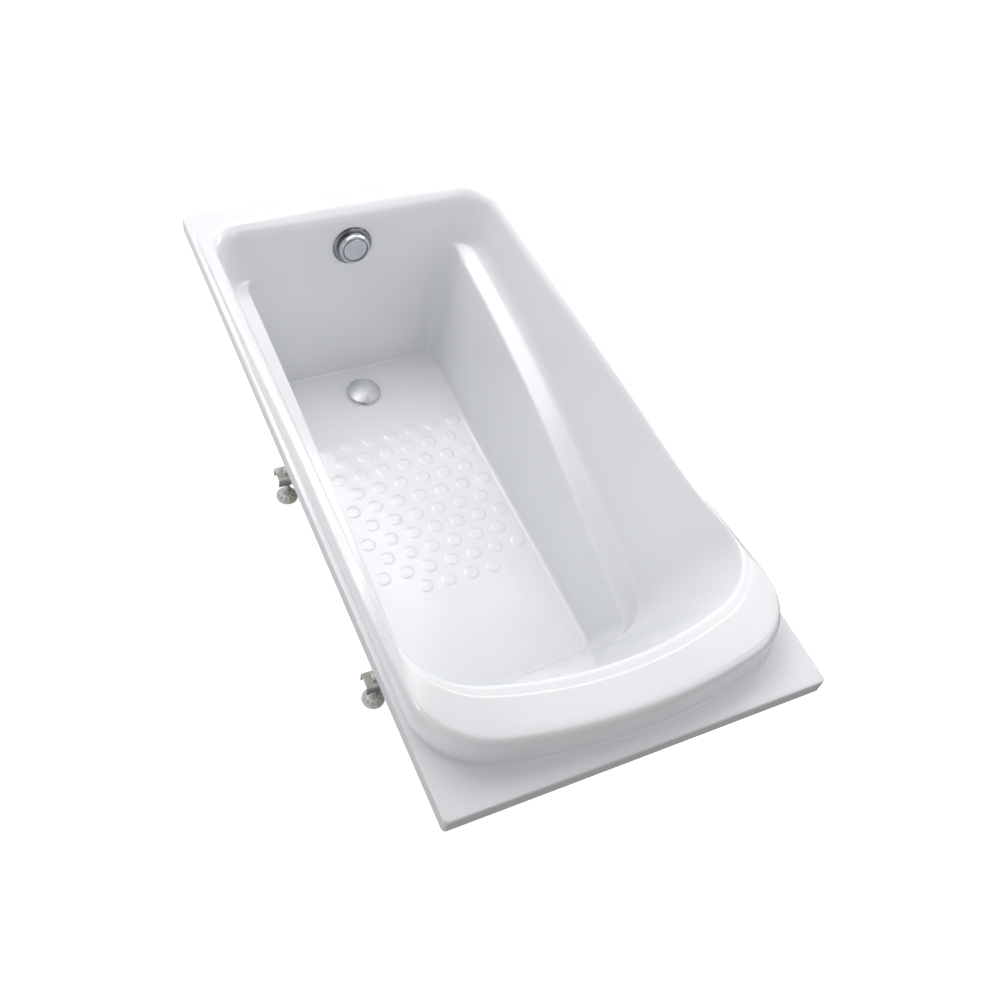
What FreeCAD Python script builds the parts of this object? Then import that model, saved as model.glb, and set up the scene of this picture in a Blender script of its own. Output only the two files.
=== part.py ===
"""Drop-in bathtub: a moulded shell on a levelling frame, with a turn-knob overflow and a pop-up waste.

Frame: X runs along the tub from the drain end (low) to the head end (high), Y runs across it, Z is up.
The origin is on the floor, under the middle of the deck. All lengths are in millimetres.
"""
import FreeCAD, Part
import math
import os

V = FreeCAD.Vector

# Deck and overall size
tub_length = 1500.0
tub_width = 750.0
floor_height = 115.0
basin_depth = 460.0
lip_height = 34.0
deck_corner_radius = 4.0
shell_wall = 4.0
backing_wall = 3.0
bond_gap = 0.3
cut_overrun = 20.0

# Bathing well above the armrests: where it opens at deck level, and how far each wall leans in by the floor
drain_deck_width = 74.0
side_deck_width = 42.0
head_deck_width = 170.0
drain_wall_rake = 72.0
side_wall_rake = 78.0
backrest_rake = 228.0
well_drain_corner_deck = 64.0
well_drain_corner_floor = 45.0
well_head_corner_deck = 140.0
well_head_corner_floor = 60.0
well_head_bow_deck = 900.0
well_head_bow_floor = 1800.0

# Foot well below the armrests
seat_half_width_floor = 217.0
seat_side_rake = 64.0
seat_drain_corner_deck = 34.0
seat_drain_corner_floor = 24.0
seat_head_corner_deck = 76.0
seat_head_corner_floor = 32.0
seat_end_overlap = 1.0
floor_round_radius = 18.0
floor_round_steps = 3

# Armrest ledge: its height falls from the drain end to the head end, and it slopes down towards the middle
armrest_drop = 305.0
armrest_edge_half_width = 260.0
armrest_cross_slope_share = 0.4
armrest_line_shares = (
    (-0.97, 0.45), (-0.573, 0.50), (-0.30, 0.572), (0.08, 0.735), (0.31, 0.852), (0.54, 0.985), (0.76, 1.13))

# Raised rim: plan at its top edge, draft of its outer wall, and its height along the tub
rim_height = 64.0
rim_side_inset = 17.0
rim_head_inset = 41.0
rim_draft = 6.0
rim_head_corner = 138.0
rim_head_bow = 1110.0
rim_drain_inset = 60.0
rim_drain_corner = 40.0
rim_line_shares = (
    (-1.05, -0.30), (-0.853, 0.0), (-0.60, 0.13), (-0.333, 0.28), (-0.067, 0.39), (0.20, 0.445),
    (0.42, 0.475), (0.60, 0.64), (0.747, 0.905), (0.88, 1.0), (1.05, 1.02))

# Anti-slip bumps on the floor
bump_radius = 19.0
bump_edge = 5.0
bump_height = 1.2
bump_pitch = 56.5
bump_first_row_count = 4
bump_long_row_count = 7
bump_head_gap = 282.0
bump_waste_gap = 150.0
bump_middle_y = 13.0

# Base board, leg bars and rim battens
board_thickness = 12.0
board_drain_gap = 132.0
board_head_gap = 24.0
board_half_width = 186.0
bar_width = 40.0
bar_height = 25.0
bar_wall = 2.5
bar_end_margin = 27.0
bar_drain_inset = 122.0
bar_head_inset = 88.0
bar_screw_radius = 2.5
bar_screw_head_radius = 5.0
bar_screw_head_height = 3.0
bar_screw_bite = 9.0
bar_screw_offset_y = 60.0
bar_screw_pitch_y = 50.0
screw_clearance = 0.1
batten_width = 22.0
batten_height = 27.0
batten_gap = 0.5
batten_end_gap = 30.0

# Levelling feet
foot_seat_gap = 41.0
stud_radius = 6.0
stud_rise = 54.3
stud_pocket_floor = 8.0
pad_radius = 26.0
pad_neck_radius = 13.0
pad_plate_height = 6.0
pad_height = 18.0
collar_low = 24.0
collar_height = 9.0
collar_flats = 19.0
nut_flats = 19.0
nut_height = 9.0
running_clearance = 0.05

# Waste in the floor
waste_inset = 83.0
waste_hole_radius = 26.0
flange_radius = 42.5
flange_height = 2.5
flange_bevel = 1.5
gasket_top_height = 1.5
gasket_top_outer = 39.0
waste_tube_radius = 24.0
waste_tube_wall = 3.5
waste_tube_length = 28.0
spider_height = 6.0
spider_drop = 13.0
spider_hub_radius = 9.0
spider_arm_width = 3.0
gasket_bottom_height = 4.0
gasket_bottom_outer = 36.0
body_flange_radius = 38.0
body_flange_height = 5.0
body_radius = 34.0
body_wall = 4.0
body_depth = 61.0
body_neck_height = 15.0
port_depth = 37.0
outlet_radius = 20.0
outlet_collar_radius = 22.0
outlet_wall = 3.0
outlet_port_end = 62.0
outlet_pipe_end = 262.0
outlet_nut_radius = 26.5
outlet_nut_length = 24.0
thread_clearance = 0.1
boss_radius = 8.0
boss_length = 8.0

# Pop-up plug
plug_radius = 41.5
plug_rim_height = 2.0
plug_crown_height = 8.0
plug_seal_outer = 36.0
plug_seal_inner = 30.5
plug_seal_height = 2.0
plug_seal_gap = 0.2
stem_radius = 5.0
stem_pin_joint_depth = 25.0
pin_radius = 4.0
pin_depth = 68.0

# Overflow on the drain-end wall; distances along its axis count from the wall's face into the well
overflow_deck_drop = 92.0
overflow_hole_radius = 28.0
faceplate_radius = 48.5
faceplate_thickness = 5.0
faceplate_bevel = 3.5
faceplate_neck_radius = 25.5
faceplate_neck_wall = 3.0
faceplate_neck_length = 20.0
faceplate_hub_radius = 9.0
faceplate_arm_width = 4.0
hub_end_gap = 0.2
knob_gap = 2.0
knob_back_radius = 38.0
knob_shoulder_radius = 37.0
knob_front_radius = 34.5
knob_depth = 15.0
knob_shoulder_depth = 10.0
knob_wall = 2.5
knob_hub_radius = 9.0
knob_recess_radius = 31.7
knob_recess_depth = 2.0
knob_cap_radius = 30.7
knob_cap_height = 2.5
spindle_radius = 5.0
spindle_back = -46.0
overflow_gasket_height = 3.0
overflow_gasket_outer = 38.0
housing_flange_radius = 40.0
housing_flange_height = 4.0
housing_radius = 36.0
housing_wall = 3.0
housing_back = -54.0
drum_radius = 25.0
drum_low = -40.0
drum_height = 9.0
drum_groove = 1.2
clip_outer = 8.5
clip_height = 1.5

# Overflow pipe and control cable
pipe_radius = 15.0
pipe_wall = 2.0
pipe_spigot_length = 24.0
pipe_bend_radius = 45.0
pipe_nut_radius = 19.0
pipe_nut_length = 20.0
pipe_port_length = 27.0
casing_radius = 2.25
core_radius = 0.8
casing_start = 48.0
casing_bend_radius = 50.0
casing_low_bend_radius = 22.5
cable_nut_radius = 5.5
cable_nut_length = 14.0
lower_nut_radius = 8.0
lower_nut_length = 12.0
lower_nut_cover = 13.0

# Worked-out places
half_length = tub_length / 2
half_width = tub_width / 2
deck_height = floor_height + basin_depth
well_drain_deck = -half_length + drain_deck_width
well_head_deck = half_length - head_deck_width
well_side_deck = half_width - side_deck_width
backing_inner = shell_wall + bond_gap
backing_outer = backing_inner + backing_wall
under_floor = floor_height - backing_outer
board_low = under_floor - board_thickness
bar_low = board_low - bar_height
stud_top = board_low + stud_rise
body_bottom = floor_height - body_depth
port_height = floor_height - port_depth
stem_pin_joint_height = floor_height - stem_pin_joint_depth
pin_low = floor_height - pin_depth
overflow_height = deck_height - overflow_deck_drop
wall_lean = math.atan2(drain_wall_rake, basin_depth)
well_top = deck_height + rim_height * 2

well_floor_values = {
    "drain": well_drain_deck + drain_wall_rake,
    "head": well_head_deck - backrest_rake,
    "side": well_side_deck - side_wall_rake,
    "drain_corner": well_drain_corner_floor,
    "head_corner": well_head_corner_floor,
    "bow": well_head_bow_floor,
}
well_deck_values = {
    "drain": well_drain_deck,
    "head": well_head_deck,
    "side": well_side_deck,
    "drain_corner": well_drain_corner_deck,
    "head_corner": well_head_corner_deck,
    "bow": well_head_bow_deck,
}
seat_floor_values = dict(
    well_floor_values, side=seat_half_width_floor,
    drain=well_floor_values["drain"] - seat_end_overlap, head=well_floor_values["head"] + seat_end_overlap,
    drain_corner=seat_drain_corner_floor, head_corner=seat_head_corner_floor)
seat_deck_values = dict(
    well_deck_values, side=seat_half_width_floor + seat_side_rake,
    drain=well_deck_values["drain"] - seat_end_overlap, head=well_deck_values["head"] + seat_end_overlap,
    drain_corner=seat_drain_corner_deck, head_corner=seat_head_corner_deck)
rim_top_values = {
    "drain": -half_length + rim_drain_inset,
    "head": half_length - rim_head_inset,
    "side": half_width - rim_side_inset,
    "drain_corner": rim_drain_corner,
    "head_corner": rim_head_corner,
    "bow": rim_head_bow,
}
foot_y = seat_half_width_floor + foot_seat_gap
bar_half_length = foot_y + bar_end_margin
waste_x = well_floor_values["drain"] + waste_inset
board_drain_x = well_floor_values["drain"] + board_drain_gap
board_head_x = well_floor_values["head"] - board_head_gap
bar_drain_x = board_drain_x + bar_drain_inset
bar_head_x = board_head_x - bar_head_inset


def box(low, high):
    """Box between two corners."""
    size = V(*high) - V(*low)
    return Part.makeBox(size.x, size.y, size.z, V(*low))


def cylinder(radius, low, high, x=0.0, y=0.0):
    """Upright cylinder between two heights."""
    return Part.makeCylinder(radius, high - low, V(x, y, low))


def ring(outer, inner, low, high, x=0.0, y=0.0):
    """Upright ring with a cylindrical bore."""
    return cylinder(outer, low, high, x, y).cut(cylinder(inner, low - cut_overrun, high + cut_overrun, x, y))


def turned(profile):
    """Solid turned about the Z axis from (radius, height) points."""
    points = [V(radius, 0, height) for radius, height in profile]
    face = Part.Face(Part.makePolygon(points + points[:1]))
    return face.revolve(V(0, 0, 0), V(0, 0, 1), 360)


def hexagon(flats, low, high, x=0.0, y=0.0):
    """Upright six-sided prism, measured across its flats."""
    corner_radius = flats / 2 / math.cos(math.radians(30))
    corners = [V(x + corner_radius * math.cos(math.radians(60 * turn)),
                 y + corner_radius * math.sin(math.radians(60 * turn)), low) for turn in range(6)]
    face = Part.Face(Part.makePolygon(corners + corners[:1]))
    return face.extrude(V(0, 0, high - low))


def arc(start, middle, end):
    """Edge along a circular arc through three points."""
    return Part.Arc(start, middle, end).toShape()


def outline(values, z, offset=0.0):
    """Closed plan wire: straight drain end and sides, rounded corners, and a bowed head end."""
    drain = values["drain"] - offset
    head = values["head"] + offset
    side = values["side"] + offset
    small = values["drain_corner"] + offset
    large = values["head_corner"] + offset
    bow = values["bow"] + offset
    small_x = drain + small
    small_y = side - small
    large_y = side - large
    bow_x = head - bow
    large_x = bow_x + math.sqrt((bow - large) ** 2 - large_y ** 2)
    meet = math.atan2(large_y, large_x - bow_x)
    corner_middle = (meet + math.pi / 2) / 2
    diagonal = math.sqrt(0.5)

    def point(x, y):
        return V(x, y, z)

    def on_large(angle, sign):
        return point(large_x + large * math.cos(angle), sign * (large_y + large * math.sin(angle)))

    tangent = on_large(meet, 1)
    edges = [
        Part.LineSegment(point(drain, -small_y), point(drain, small_y)).toShape(),
        arc(point(drain, small_y), point(small_x - small * diagonal, small_y + small * diagonal),
            point(small_x, side)),
        Part.LineSegment(point(small_x, side), point(large_x, side)).toShape(),
        arc(point(large_x, side), on_large(corner_middle, 1), tangent),
        arc(tangent, point(head, 0), on_large(meet, -1)),
        arc(on_large(meet, -1), on_large(corner_middle, -1), point(large_x, -side)),
        Part.LineSegment(point(large_x, -side), point(small_x, -side)).toShape(),
        arc(point(small_x, -side), point(small_x - small * diagonal, -small_y - small * diagonal),
            point(drain, -small_y)),
    ]
    return Part.Wire(edges)


def between(floor_values, deck_values, z):
    """Plan values of a tapered well at one height."""
    share = (z - floor_height) / basin_depth
    return {name: low + (deck_values[name] - low) * share for name, low in floor_values.items()}


def tapered(floor_values, deck_values, levels):
    """Solid through plan wires; each level is (height, offset)."""
    wires = [outline(between(floor_values, deck_values, z), z, offset) for z, offset in levels]
    return Part.makeLoft(wires, True, True)


def line_face(shares, x_unit, z_of, far_height):
    """Upright face between a smooth line given in shares and a level height, in the plane y = 0."""
    points = [V(x_share * x_unit, 0, z_of(z_share)) for x_share, z_share in shares]
    curve = Part.BSplineCurve()
    curve.interpolate(points)
    first = points[0]
    last = points[-1]
    sides = Part.makePolygon([last, V(last.x, 0, far_height), V(first.x, 0, far_height), first])
    return Part.Face(Part.Wire([curve.toShape()] + sides.Edges))


def under_armrests(offset):
    """Everything below the two armrest ledges; a positive offset lowers the ledges."""
    half_reach = tub_width
    rise = armrest_cross_slope_share * half_reach
    middle_drop = armrest_cross_slope_share * armrest_edge_half_width

    def height(share):
        return deck_height - armrest_drop * share - middle_drop - offset

    face = line_face(armrest_line_shares, half_length, height, -half_reach)
    right = face.extrude(V(0, half_reach, rise))
    left = face.extrude(V(0, -half_reach, rise))
    return right.fuse(left)


def well(offset):
    """The whole bathing well up past the rim, grown outwards and downwards by the offset."""
    floor = floor_height - offset
    upper = tapered(well_floor_values, well_deck_values, [(floor, offset), (well_top, offset)])
    radius = floor_round_radius + offset
    rounds = []
    for step in range(floor_round_steps + 1):
        angle = math.radians(90) * step / floor_round_steps
        rounds.append((floor + radius * (1 - math.cos(angle)), offset - radius * (1 - math.sin(angle))))
    lower = tapered(seat_floor_values, seat_deck_values, rounds + [(well_top, offset)])
    return upper.cut(under_armrests(offset).cut(lower))


def below(shape, height):
    """The part of a shape under one height."""
    return shape.cut(box((-tub_length, -tub_width, height), (tub_length, tub_width, well_top + cut_overrun)))


def rim_block(inset, drop):
    """The raised rim as a solid block, inset and lowered to give its hollow."""
    low = deck_height - lip_height / 2
    top_height = deck_height + rim_height
    slope = rim_draft / rim_height
    block = Part.makeLoft([
        outline(rim_top_values, low, (top_height - low) * slope - inset),
        outline(rim_top_values, well_top, (top_height - well_top) * slope - inset)], True, True)

    def height(share):
        return deck_height + rim_height * share - drop

    over = line_face(rim_line_shares, half_length, height, well_top + cut_overrun)
    over.translate(V(0, -tub_width, 0))
    return block.cut(over.extrude(V(0, 2 * tub_width, 0)))


def at_overflow(shape):
    """Move a shape built about its own Z axis to the overflow: X down the wall, Z into the well."""
    lean = math.degrees(wall_lean)
    wall_x = well_drain_deck + (deck_height - overflow_height) * math.tan(wall_lean)
    shape.Placement = FreeCAD.Placement(
        V(wall_x, 0, overflow_height), FreeCAD.Rotation(V(0, 1, 0), 90 - lean)).multiply(shape.Placement)
    return shape


def overflow_point(down, across, out):
    """A point given down the wall, across it and out into the well, in the tub's frame."""
    marker = Part.Vertex(V(down, across, out))
    return at_overflow(marker).Point


def path(points, radii):
    """Wire of straight runs joined by tangent arcs at the inner points."""
    edges = []
    start = points[0]
    for before, corner, after, radius in zip(points, points[1:], points[2:], radii):
        back = (before - corner).normalize()
        ahead = (after - corner).normalize()
        half_turn = (math.pi - back.getAngle(ahead)) / 2
        reach = radius * math.tan(half_turn)
        middle = corner + (back + ahead).normalize() * (radius / math.cos(half_turn) - radius)
        edges.append(Part.LineSegment(start, corner + back * reach).toShape())
        edges.append(arc(corner + back * reach, middle, corner + ahead * reach))
        start = corner + ahead * reach
    edges.append(Part.LineSegment(start, points[-1]).toShape())
    return Part.Wire(edges)


def tube(points, radii, radius):
    """Round rod along a path."""
    spine = path(points, radii)
    direction = (points[1] - points[0]).normalize()
    section = Part.Wire(Part.makeCircle(radius, points[0], direction))
    return spine.makePipeShell([section], True, False)


def make_shell():
    """Moulded shell: deck with a down-turned lip, raised rim, well and anti-slip floor."""
    lip_low = deck_height - lip_height
    deck = box((-half_length, -half_width, lip_low), (half_length, half_width, deck_height))
    corners = [edge for edge in deck.Edges
               if abs(edge.Vertexes[0].Z - edge.Vertexes[1].Z) > lip_height / 2]
    deck = deck.makeFillet(deck_corner_radius + shell_wall, corners)
    under = box((-half_length + shell_wall, -half_width + shell_wall, lip_low - cut_overrun),
                (half_length - shell_wall, half_width - shell_wall, deck_height - shell_wall))
    skin = well(shell_wall)
    skin_low = below(skin, deck_height - shell_wall / 2)
    hollow = under.fuse(rim_block(shell_wall, shell_wall)).cut(skin)
    form = deck.fuse([rim_block(0.0, 0.0), skin_low])
    shell = form.cut(hollow).cut(well(0.0))
    shell = shell.fuse(make_bumps())
    shell = shell.cut(cylinder(waste_hole_radius, under_floor - cut_overrun, floor_height + cut_overrun, waste_x))
    shell = shell.cut(overflow_hole())
    return shell.removeSplitter()


def make_bumps():
    """Low round bumps in staggered rows."""
    bumps = []
    head_x = well_floor_values["head"] - bump_head_gap
    row_step = bump_pitch * math.sin(math.radians(60))
    row_count = int((head_x - waste_x - bump_waste_gap) / row_step) + 1
    counts = [bump_first_row_count] + [bump_long_row_count - row % 2 for row in range(row_count - 1)]
    for row, count in enumerate(counts):
        x = head_x - row * row_step
        for place in range(count):
            y = bump_middle_y + (place - (count - 1) / 2) * bump_pitch
            bumps.append(Part.makeCone(bump_radius, bump_radius - bump_edge, bump_height, V(x, y, floor_height)))
    return bumps


def overflow_hole():
    """Cutter for the round hole through the drain-end wall."""
    return at_overflow(cylinder(overflow_hole_radius, -backing_outer - cut_overrun, cut_overrun))


def make_backing():
    """Resin and glass-fibre layer bonded round the outside of the well."""
    top = deck_height - shell_wall - batten_gap
    backing = below(well(backing_outer), top).cut(well(backing_inner))
    backing = backing.cut(cylinder(waste_hole_radius, under_floor - cut_overrun, floor_height, waste_x))
    return backing.cut(overflow_hole()).removeSplitter()


def make_battens():
    """Timber battens glued under the deck, one on each side."""
    top = deck_height - shell_wall
    low = top - batten_height
    outer_x = half_length - shell_wall - batten_gap
    outer_y = half_width - shell_wall - batten_gap
    side_x = outer_x - batten_width - batten_end_gap
    end_y = outer_y - batten_width - batten_end_gap
    return {
        "rim_batten_right": box((-side_x, outer_y - batten_width, low), (side_x, outer_y, top)),
        "rim_batten_left": box((-side_x, -outer_y, low), (side_x, batten_width - outer_y, top)),
        "rim_batten_head": box((outer_x - batten_width, -end_y, low), (outer_x, end_y, top)),
        "rim_batten_drain": box((-outer_x, -end_y, low), (batten_width - outer_x, end_y, top)),
    }


def bar_screw_places(bar_x):
    """Screw places along one leg bar, two on each side of the middle."""
    places = []
    for side in (-1, 1):
        for step in range(2):
            places.append((bar_x, side * (bar_screw_offset_y + step * bar_screw_pitch_y)))
    return places


def make_base():
    """Board under the floor, the two leg bars and the screws that join them."""
    board = box((board_drain_x, -board_half_width, board_low), (board_head_x, board_half_width, under_floor))
    nodes = {}
    screws = []
    web_low = board_low - bar_wall
    for name, bar_x in (("leg_bar_drain", bar_drain_x), ("leg_bar_head", bar_head_x)):
        bar = box((bar_x - bar_width / 2, -bar_half_length, bar_low),
                  (bar_x + bar_width / 2, bar_half_length, board_low))
        bar = bar.cut(box((bar_x - bar_width / 2 + bar_wall, -bar_half_length - cut_overrun, bar_low - cut_overrun),
                          (bar_x + bar_width / 2 - bar_wall, bar_half_length + cut_overrun, web_low)))
        for x, y in bar_screw_places(bar_x):
            hole = bar_screw_radius + screw_clearance
            bar = bar.cut(cylinder(hole, web_low - cut_overrun, board_low + cut_overrun, x, y))
            hole_top = board_low + bar_screw_bite + screw_clearance
            board = board.cut(cylinder(hole, board_low - cut_overrun, hole_top, x, y))
            shank = cylinder(bar_screw_radius, web_low, board_low + bar_screw_bite, x, y)
            head = cylinder(bar_screw_head_radius, web_low - bar_screw_head_height, web_low, x, y)
            screws.append(shank.fuse(head).removeSplitter())
        for side in (-1, 1):
            hole = stud_radius + running_clearance
            bar = bar.cut(cylinder(hole, web_low - cut_overrun, board_low + cut_overrun, bar_x, side * foot_y))
        nodes[name] = bar
    nodes["base_board"] = board
    nodes["leg_bar_screws"] = Part.makeCompound(screws)
    return nodes


def foot_places():
    """Feet in order: drain left, drain right, head left, head right."""
    return [(bar_x, side * foot_y) for bar_x in (bar_drain_x, bar_head_x) for side in (-1, 1)]


def make_feet():
    """Threaded studs with swivel pads, and the nuts that hold them in the leg bars."""
    nodes = {}
    weld_nuts = []
    lock_nuts = []
    web_low = board_low - bar_wall
    bore = stud_radius + running_clearance
    for number, (x, y) in enumerate(foot_places(), 1):
        pad = turned([(0, 0), (pad_radius, 0), (pad_radius, pad_plate_height),
                      (pad_neck_radius, pad_height), (0, pad_height)])
        pad.translate(V(x, y, 0))
        pocket = cylinder(bore, stud_pocket_floor, pad_height + cut_overrun, x, y)
        nodes["foot_pad_%d" % number] = pad.cut(pocket)
        stud = cylinder(stud_radius, stud_pocket_floor, stud_top, x, y)
        collar = hexagon(collar_flats, collar_low, collar_low + collar_height, x, y)
        nodes["foot_stud_%d" % number] = stud.fuse(collar).removeSplitter()
        through = cylinder(bore, bar_low - cut_overrun, stud_top, x, y)
        weld_nuts.append(hexagon(nut_flats, web_low - nut_height, web_low, x, y).cut(through))
        lock_nuts.append(hexagon(nut_flats, board_low, board_low + nut_height, x, y).cut(through))
    nodes["foot_weld_nuts"] = Part.makeCompound(weld_nuts)
    nodes["foot_lock_nuts"] = Part.makeCompound(lock_nuts)
    return nodes


def moved(shape, x, y, z):
    """The shape, moved."""
    shape.translate(V(x, y, z))
    return shape


def across(shape):
    """Turn a shape built along +Z to run along +Y."""
    shape.rotate(V(0, 0, 0), V(1, 0, 0), -90)
    return shape


def along_drain(shape):
    """Turn a shape built along +Z to run along -X."""
    shape.rotate(V(0, 0, 0), V(0, 1, 0), -90)
    return shape


def make_waste():
    """Waste fitting in the floor with its gaskets, the body below it and the outlet pipe."""
    nodes = {}
    flange_low = floor_height + gasket_top_height
    flange_top = flange_low + flange_height
    tube_inner = waste_tube_radius - waste_tube_wall
    tube_low = flange_top - waste_tube_length
    flange = turned([(tube_inner, tube_low), (waste_tube_radius, tube_low), (waste_tube_radius, flange_low),
                     (flange_radius, flange_low), (flange_radius, flange_top - flange_bevel),
                     (flange_radius - flange_bevel, flange_top), (tube_inner, flange_top)])
    spider_top = flange_top - spider_drop + spider_height
    spider_low = flange_top - spider_drop
    hub = cylinder(spider_hub_radius, spider_low, spider_top)
    arms = []
    for turn in range(3):
        arm = box((0, -spider_arm_width / 2, spider_low),
                  (tube_inner + waste_tube_wall / 2, spider_arm_width / 2, spider_top))
        arm.rotate(V(0, 0, 0), V(0, 0, 1), 120 * turn)
        arms.append(arm)
    guide = cylinder(stem_radius + running_clearance, spider_low - cut_overrun, spider_top + cut_overrun)
    flange = flange.fuse([hub] + arms).cut(guide).removeSplitter()
    nodes["waste_flange"] = moved(flange, waste_x, 0, 0)
    nodes["waste_gasket_top"] = ring(gasket_top_outer, waste_hole_radius, floor_height, flange_low, waste_x)
    gasket_low = under_floor - gasket_bottom_height
    nodes["waste_gasket_bottom"] = ring(gasket_bottom_outer, waste_hole_radius, gasket_low, under_floor, waste_x)

    neck_inner = waste_tube_radius + thread_clearance
    chamber = body_radius - body_wall
    neck_low = gasket_low - body_neck_height
    body = turned([(0, body_bottom), (body_radius, body_bottom), (body_radius, gasket_low - body_flange_height),
                   (body_flange_radius, gasket_low - body_flange_height), (body_flange_radius, gasket_low),
                   (0, gasket_low)])
    body = body.fuse(cylinder(boss_radius, body_bottom - boss_length, body_bottom + body_wall))
    outlet = across(cylinder(outlet_collar_radius, 0, outlet_port_end))
    outlet.translate(V(0, 0, port_height))
    inlet = along_drain(cylinder(pipe_radius, 0, body_radius + pipe_port_length))
    inlet.translate(V(0, 0, port_height))
    body = body.fuse([outlet, inlet])
    body = body.cut(cylinder(neck_inner, neck_low - body_wall, gasket_low + cut_overrun))
    body = body.cut(cylinder(chamber, body_bottom + body_wall, neck_low))
    outlet_bore = across(cylinder(outlet_radius - outlet_wall, 0, outlet_port_end + cut_overrun))
    outlet_bore.translate(V(0, 0, port_height))
    inlet_bore = along_drain(cylinder(pipe_radius - pipe_wall, 0, body_radius + pipe_port_length + cut_overrun))
    inlet_bore.translate(V(0, 0, port_height))
    pin_bore = cylinder(pin_radius + running_clearance, body_bottom - boss_length - cut_overrun,
                        body_bottom + body_wall + cut_overrun)
    body = body.cut(outlet_bore).cut(inlet_bore).cut(pin_bore).removeSplitter()
    nodes["waste_body"] = moved(body, waste_x, 0, 0)

    nut_low = outlet_port_end - outlet_nut_length / 2
    nut_high = nut_low + outlet_nut_length
    outlet_nut = across(ring(outlet_nut_radius, outlet_collar_radius + thread_clearance, nut_low, nut_high))
    nodes["waste_outlet_nut"] = moved(outlet_nut, waste_x, 0, port_height)
    bore_radius = outlet_radius - outlet_wall
    outlet_pipe = across(ring(outlet_radius, bore_radius, outlet_port_end, outlet_pipe_end).fuse(
        ring(outlet_collar_radius, bore_radius, outlet_port_end, nut_high)).removeSplitter())
    nodes["waste_outlet_pipe"] = moved(outlet_pipe, waste_x, 0, port_height)
    return nodes


def make_plug():
    """Pop-up plug: domed cap, seal, stem and the pin that lifts it."""
    seal_low = floor_height + gasket_top_height + flange_height + plug_seal_gap
    cap_low = seal_low + plug_seal_height
    edge_high = cap_low + plug_rim_height
    top = edge_high + plug_crown_height
    rim = Part.LineSegment(V(plug_radius, 0, cap_low), V(plug_radius, 0, edge_high)).toShape()
    crown_radius = (plug_radius ** 2 + plug_crown_height ** 2) / (2 * plug_crown_height)
    crown_middle = V(plug_radius / 2, 0, top - crown_radius + math.sqrt(crown_radius ** 2 - (plug_radius / 2) ** 2))
    crown = arc(V(plug_radius, 0, edge_high), crown_middle, V(0, 0, top))
    axis_line = Part.LineSegment(V(0, 0, top), V(0, 0, cap_low)).toShape()
    under = Part.LineSegment(V(0, 0, cap_low), V(plug_radius, 0, cap_low)).toShape()
    cap = Part.Face(Part.Wire([rim, crown, axis_line, under])).revolve(V(0, 0, 0), V(0, 0, 1), 360)
    return {
        "plug_cap": moved(cap, waste_x, 0, 0),
        "plug_seal": ring(plug_seal_outer, plug_seal_inner, seal_low, cap_low, waste_x),
        "plug_stem": cylinder(stem_radius, stem_pin_joint_height, cap_low, waste_x),
        "lifter_pin": cylinder(pin_radius, pin_low, stem_pin_joint_height, waste_x),
    }


def make_overflow():
    """Overflow on the drain-end wall: faceplate, gasket, housing and back cover."""
    nodes = {}
    neck_inner = faceplate_neck_radius - faceplate_neck_wall
    plate = turned([(neck_inner, -faceplate_neck_length), (faceplate_neck_radius, -faceplate_neck_length),
                    (faceplate_neck_radius, 0), (faceplate_radius, 0),
                    (faceplate_radius, faceplate_thickness - faceplate_bevel),
                    (faceplate_radius - faceplate_bevel, faceplate_thickness), (neck_inner, faceplate_thickness)])
    hub_back = drum_low + drum_height + hub_end_gap
    arms = [cylinder(faceplate_hub_radius, hub_back, faceplate_thickness + knob_gap - hub_end_gap)]
    for turn in range(4):
        arm = box((0, -faceplate_arm_width / 2, 0),
                  (neck_inner + faceplate_neck_wall / 2, faceplate_arm_width / 2, faceplate_thickness))
        arm.rotate(V(0, 0, 0), V(0, 0, 1), 90 * turn + 45)
        arms.append(arm)
    hub_bore = cylinder(spindle_radius + running_clearance, hub_back - cut_overrun, cut_overrun)
    nodes["overflow_faceplate"] = plate.fuse(arms).cut(hub_bore).removeSplitter()

    gasket_back = -backing_outer - overflow_gasket_height
    flange_back = gasket_back - housing_flange_height
    housing_inner = housing_radius - housing_wall
    nodes["overflow_gasket"] = ring(overflow_gasket_outer, overflow_hole_radius, gasket_back, -backing_outer)
    body = cylinder(housing_flange_radius, flange_back, gasket_back)
    body = body.fuse(cylinder(housing_radius, housing_back, flange_back))
    spigot = Part.makeCylinder(pipe_radius, housing_radius + pipe_spigot_length,
                               V(0, 0, drum_low + drum_height / 2), V(1, 0, 0))
    gland = Part.makeCylinder(cable_nut_radius, casing_start - cable_nut_length / 2,
                              V(0, drum_radius, drum_low + drum_height / 2), V(1, 0, 0))
    body = body.fuse([spigot, gland])
    chamber_front = flange_back - housing_wall
    body = body.cut(cylinder(housing_inner, housing_back - cut_overrun, chamber_front))
    body = body.cut(cylinder(faceplate_neck_radius + thread_clearance, chamber_front - cut_overrun, cut_overrun))
    spigot_bore = Part.makeCylinder(pipe_radius - pipe_wall, housing_radius + pipe_spigot_length + cut_overrun,
                                    V(0, 0, drum_low + drum_height / 2), V(1, 0, 0))
    gland_bore = Part.makeCylinder(casing_radius + running_clearance, casing_start + cut_overrun,
                                   V(0, drum_radius, drum_low + drum_height / 2), V(1, 0, 0))
    nodes["overflow_body"] = body.cut(spigot_bore).cut(gland_bore).removeSplitter()
    nodes["overflow_back_cover"] = cylinder(housing_radius, housing_back - housing_wall, housing_back)
    return {name: at_overflow(shape) for name, shape in nodes.items()}


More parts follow.
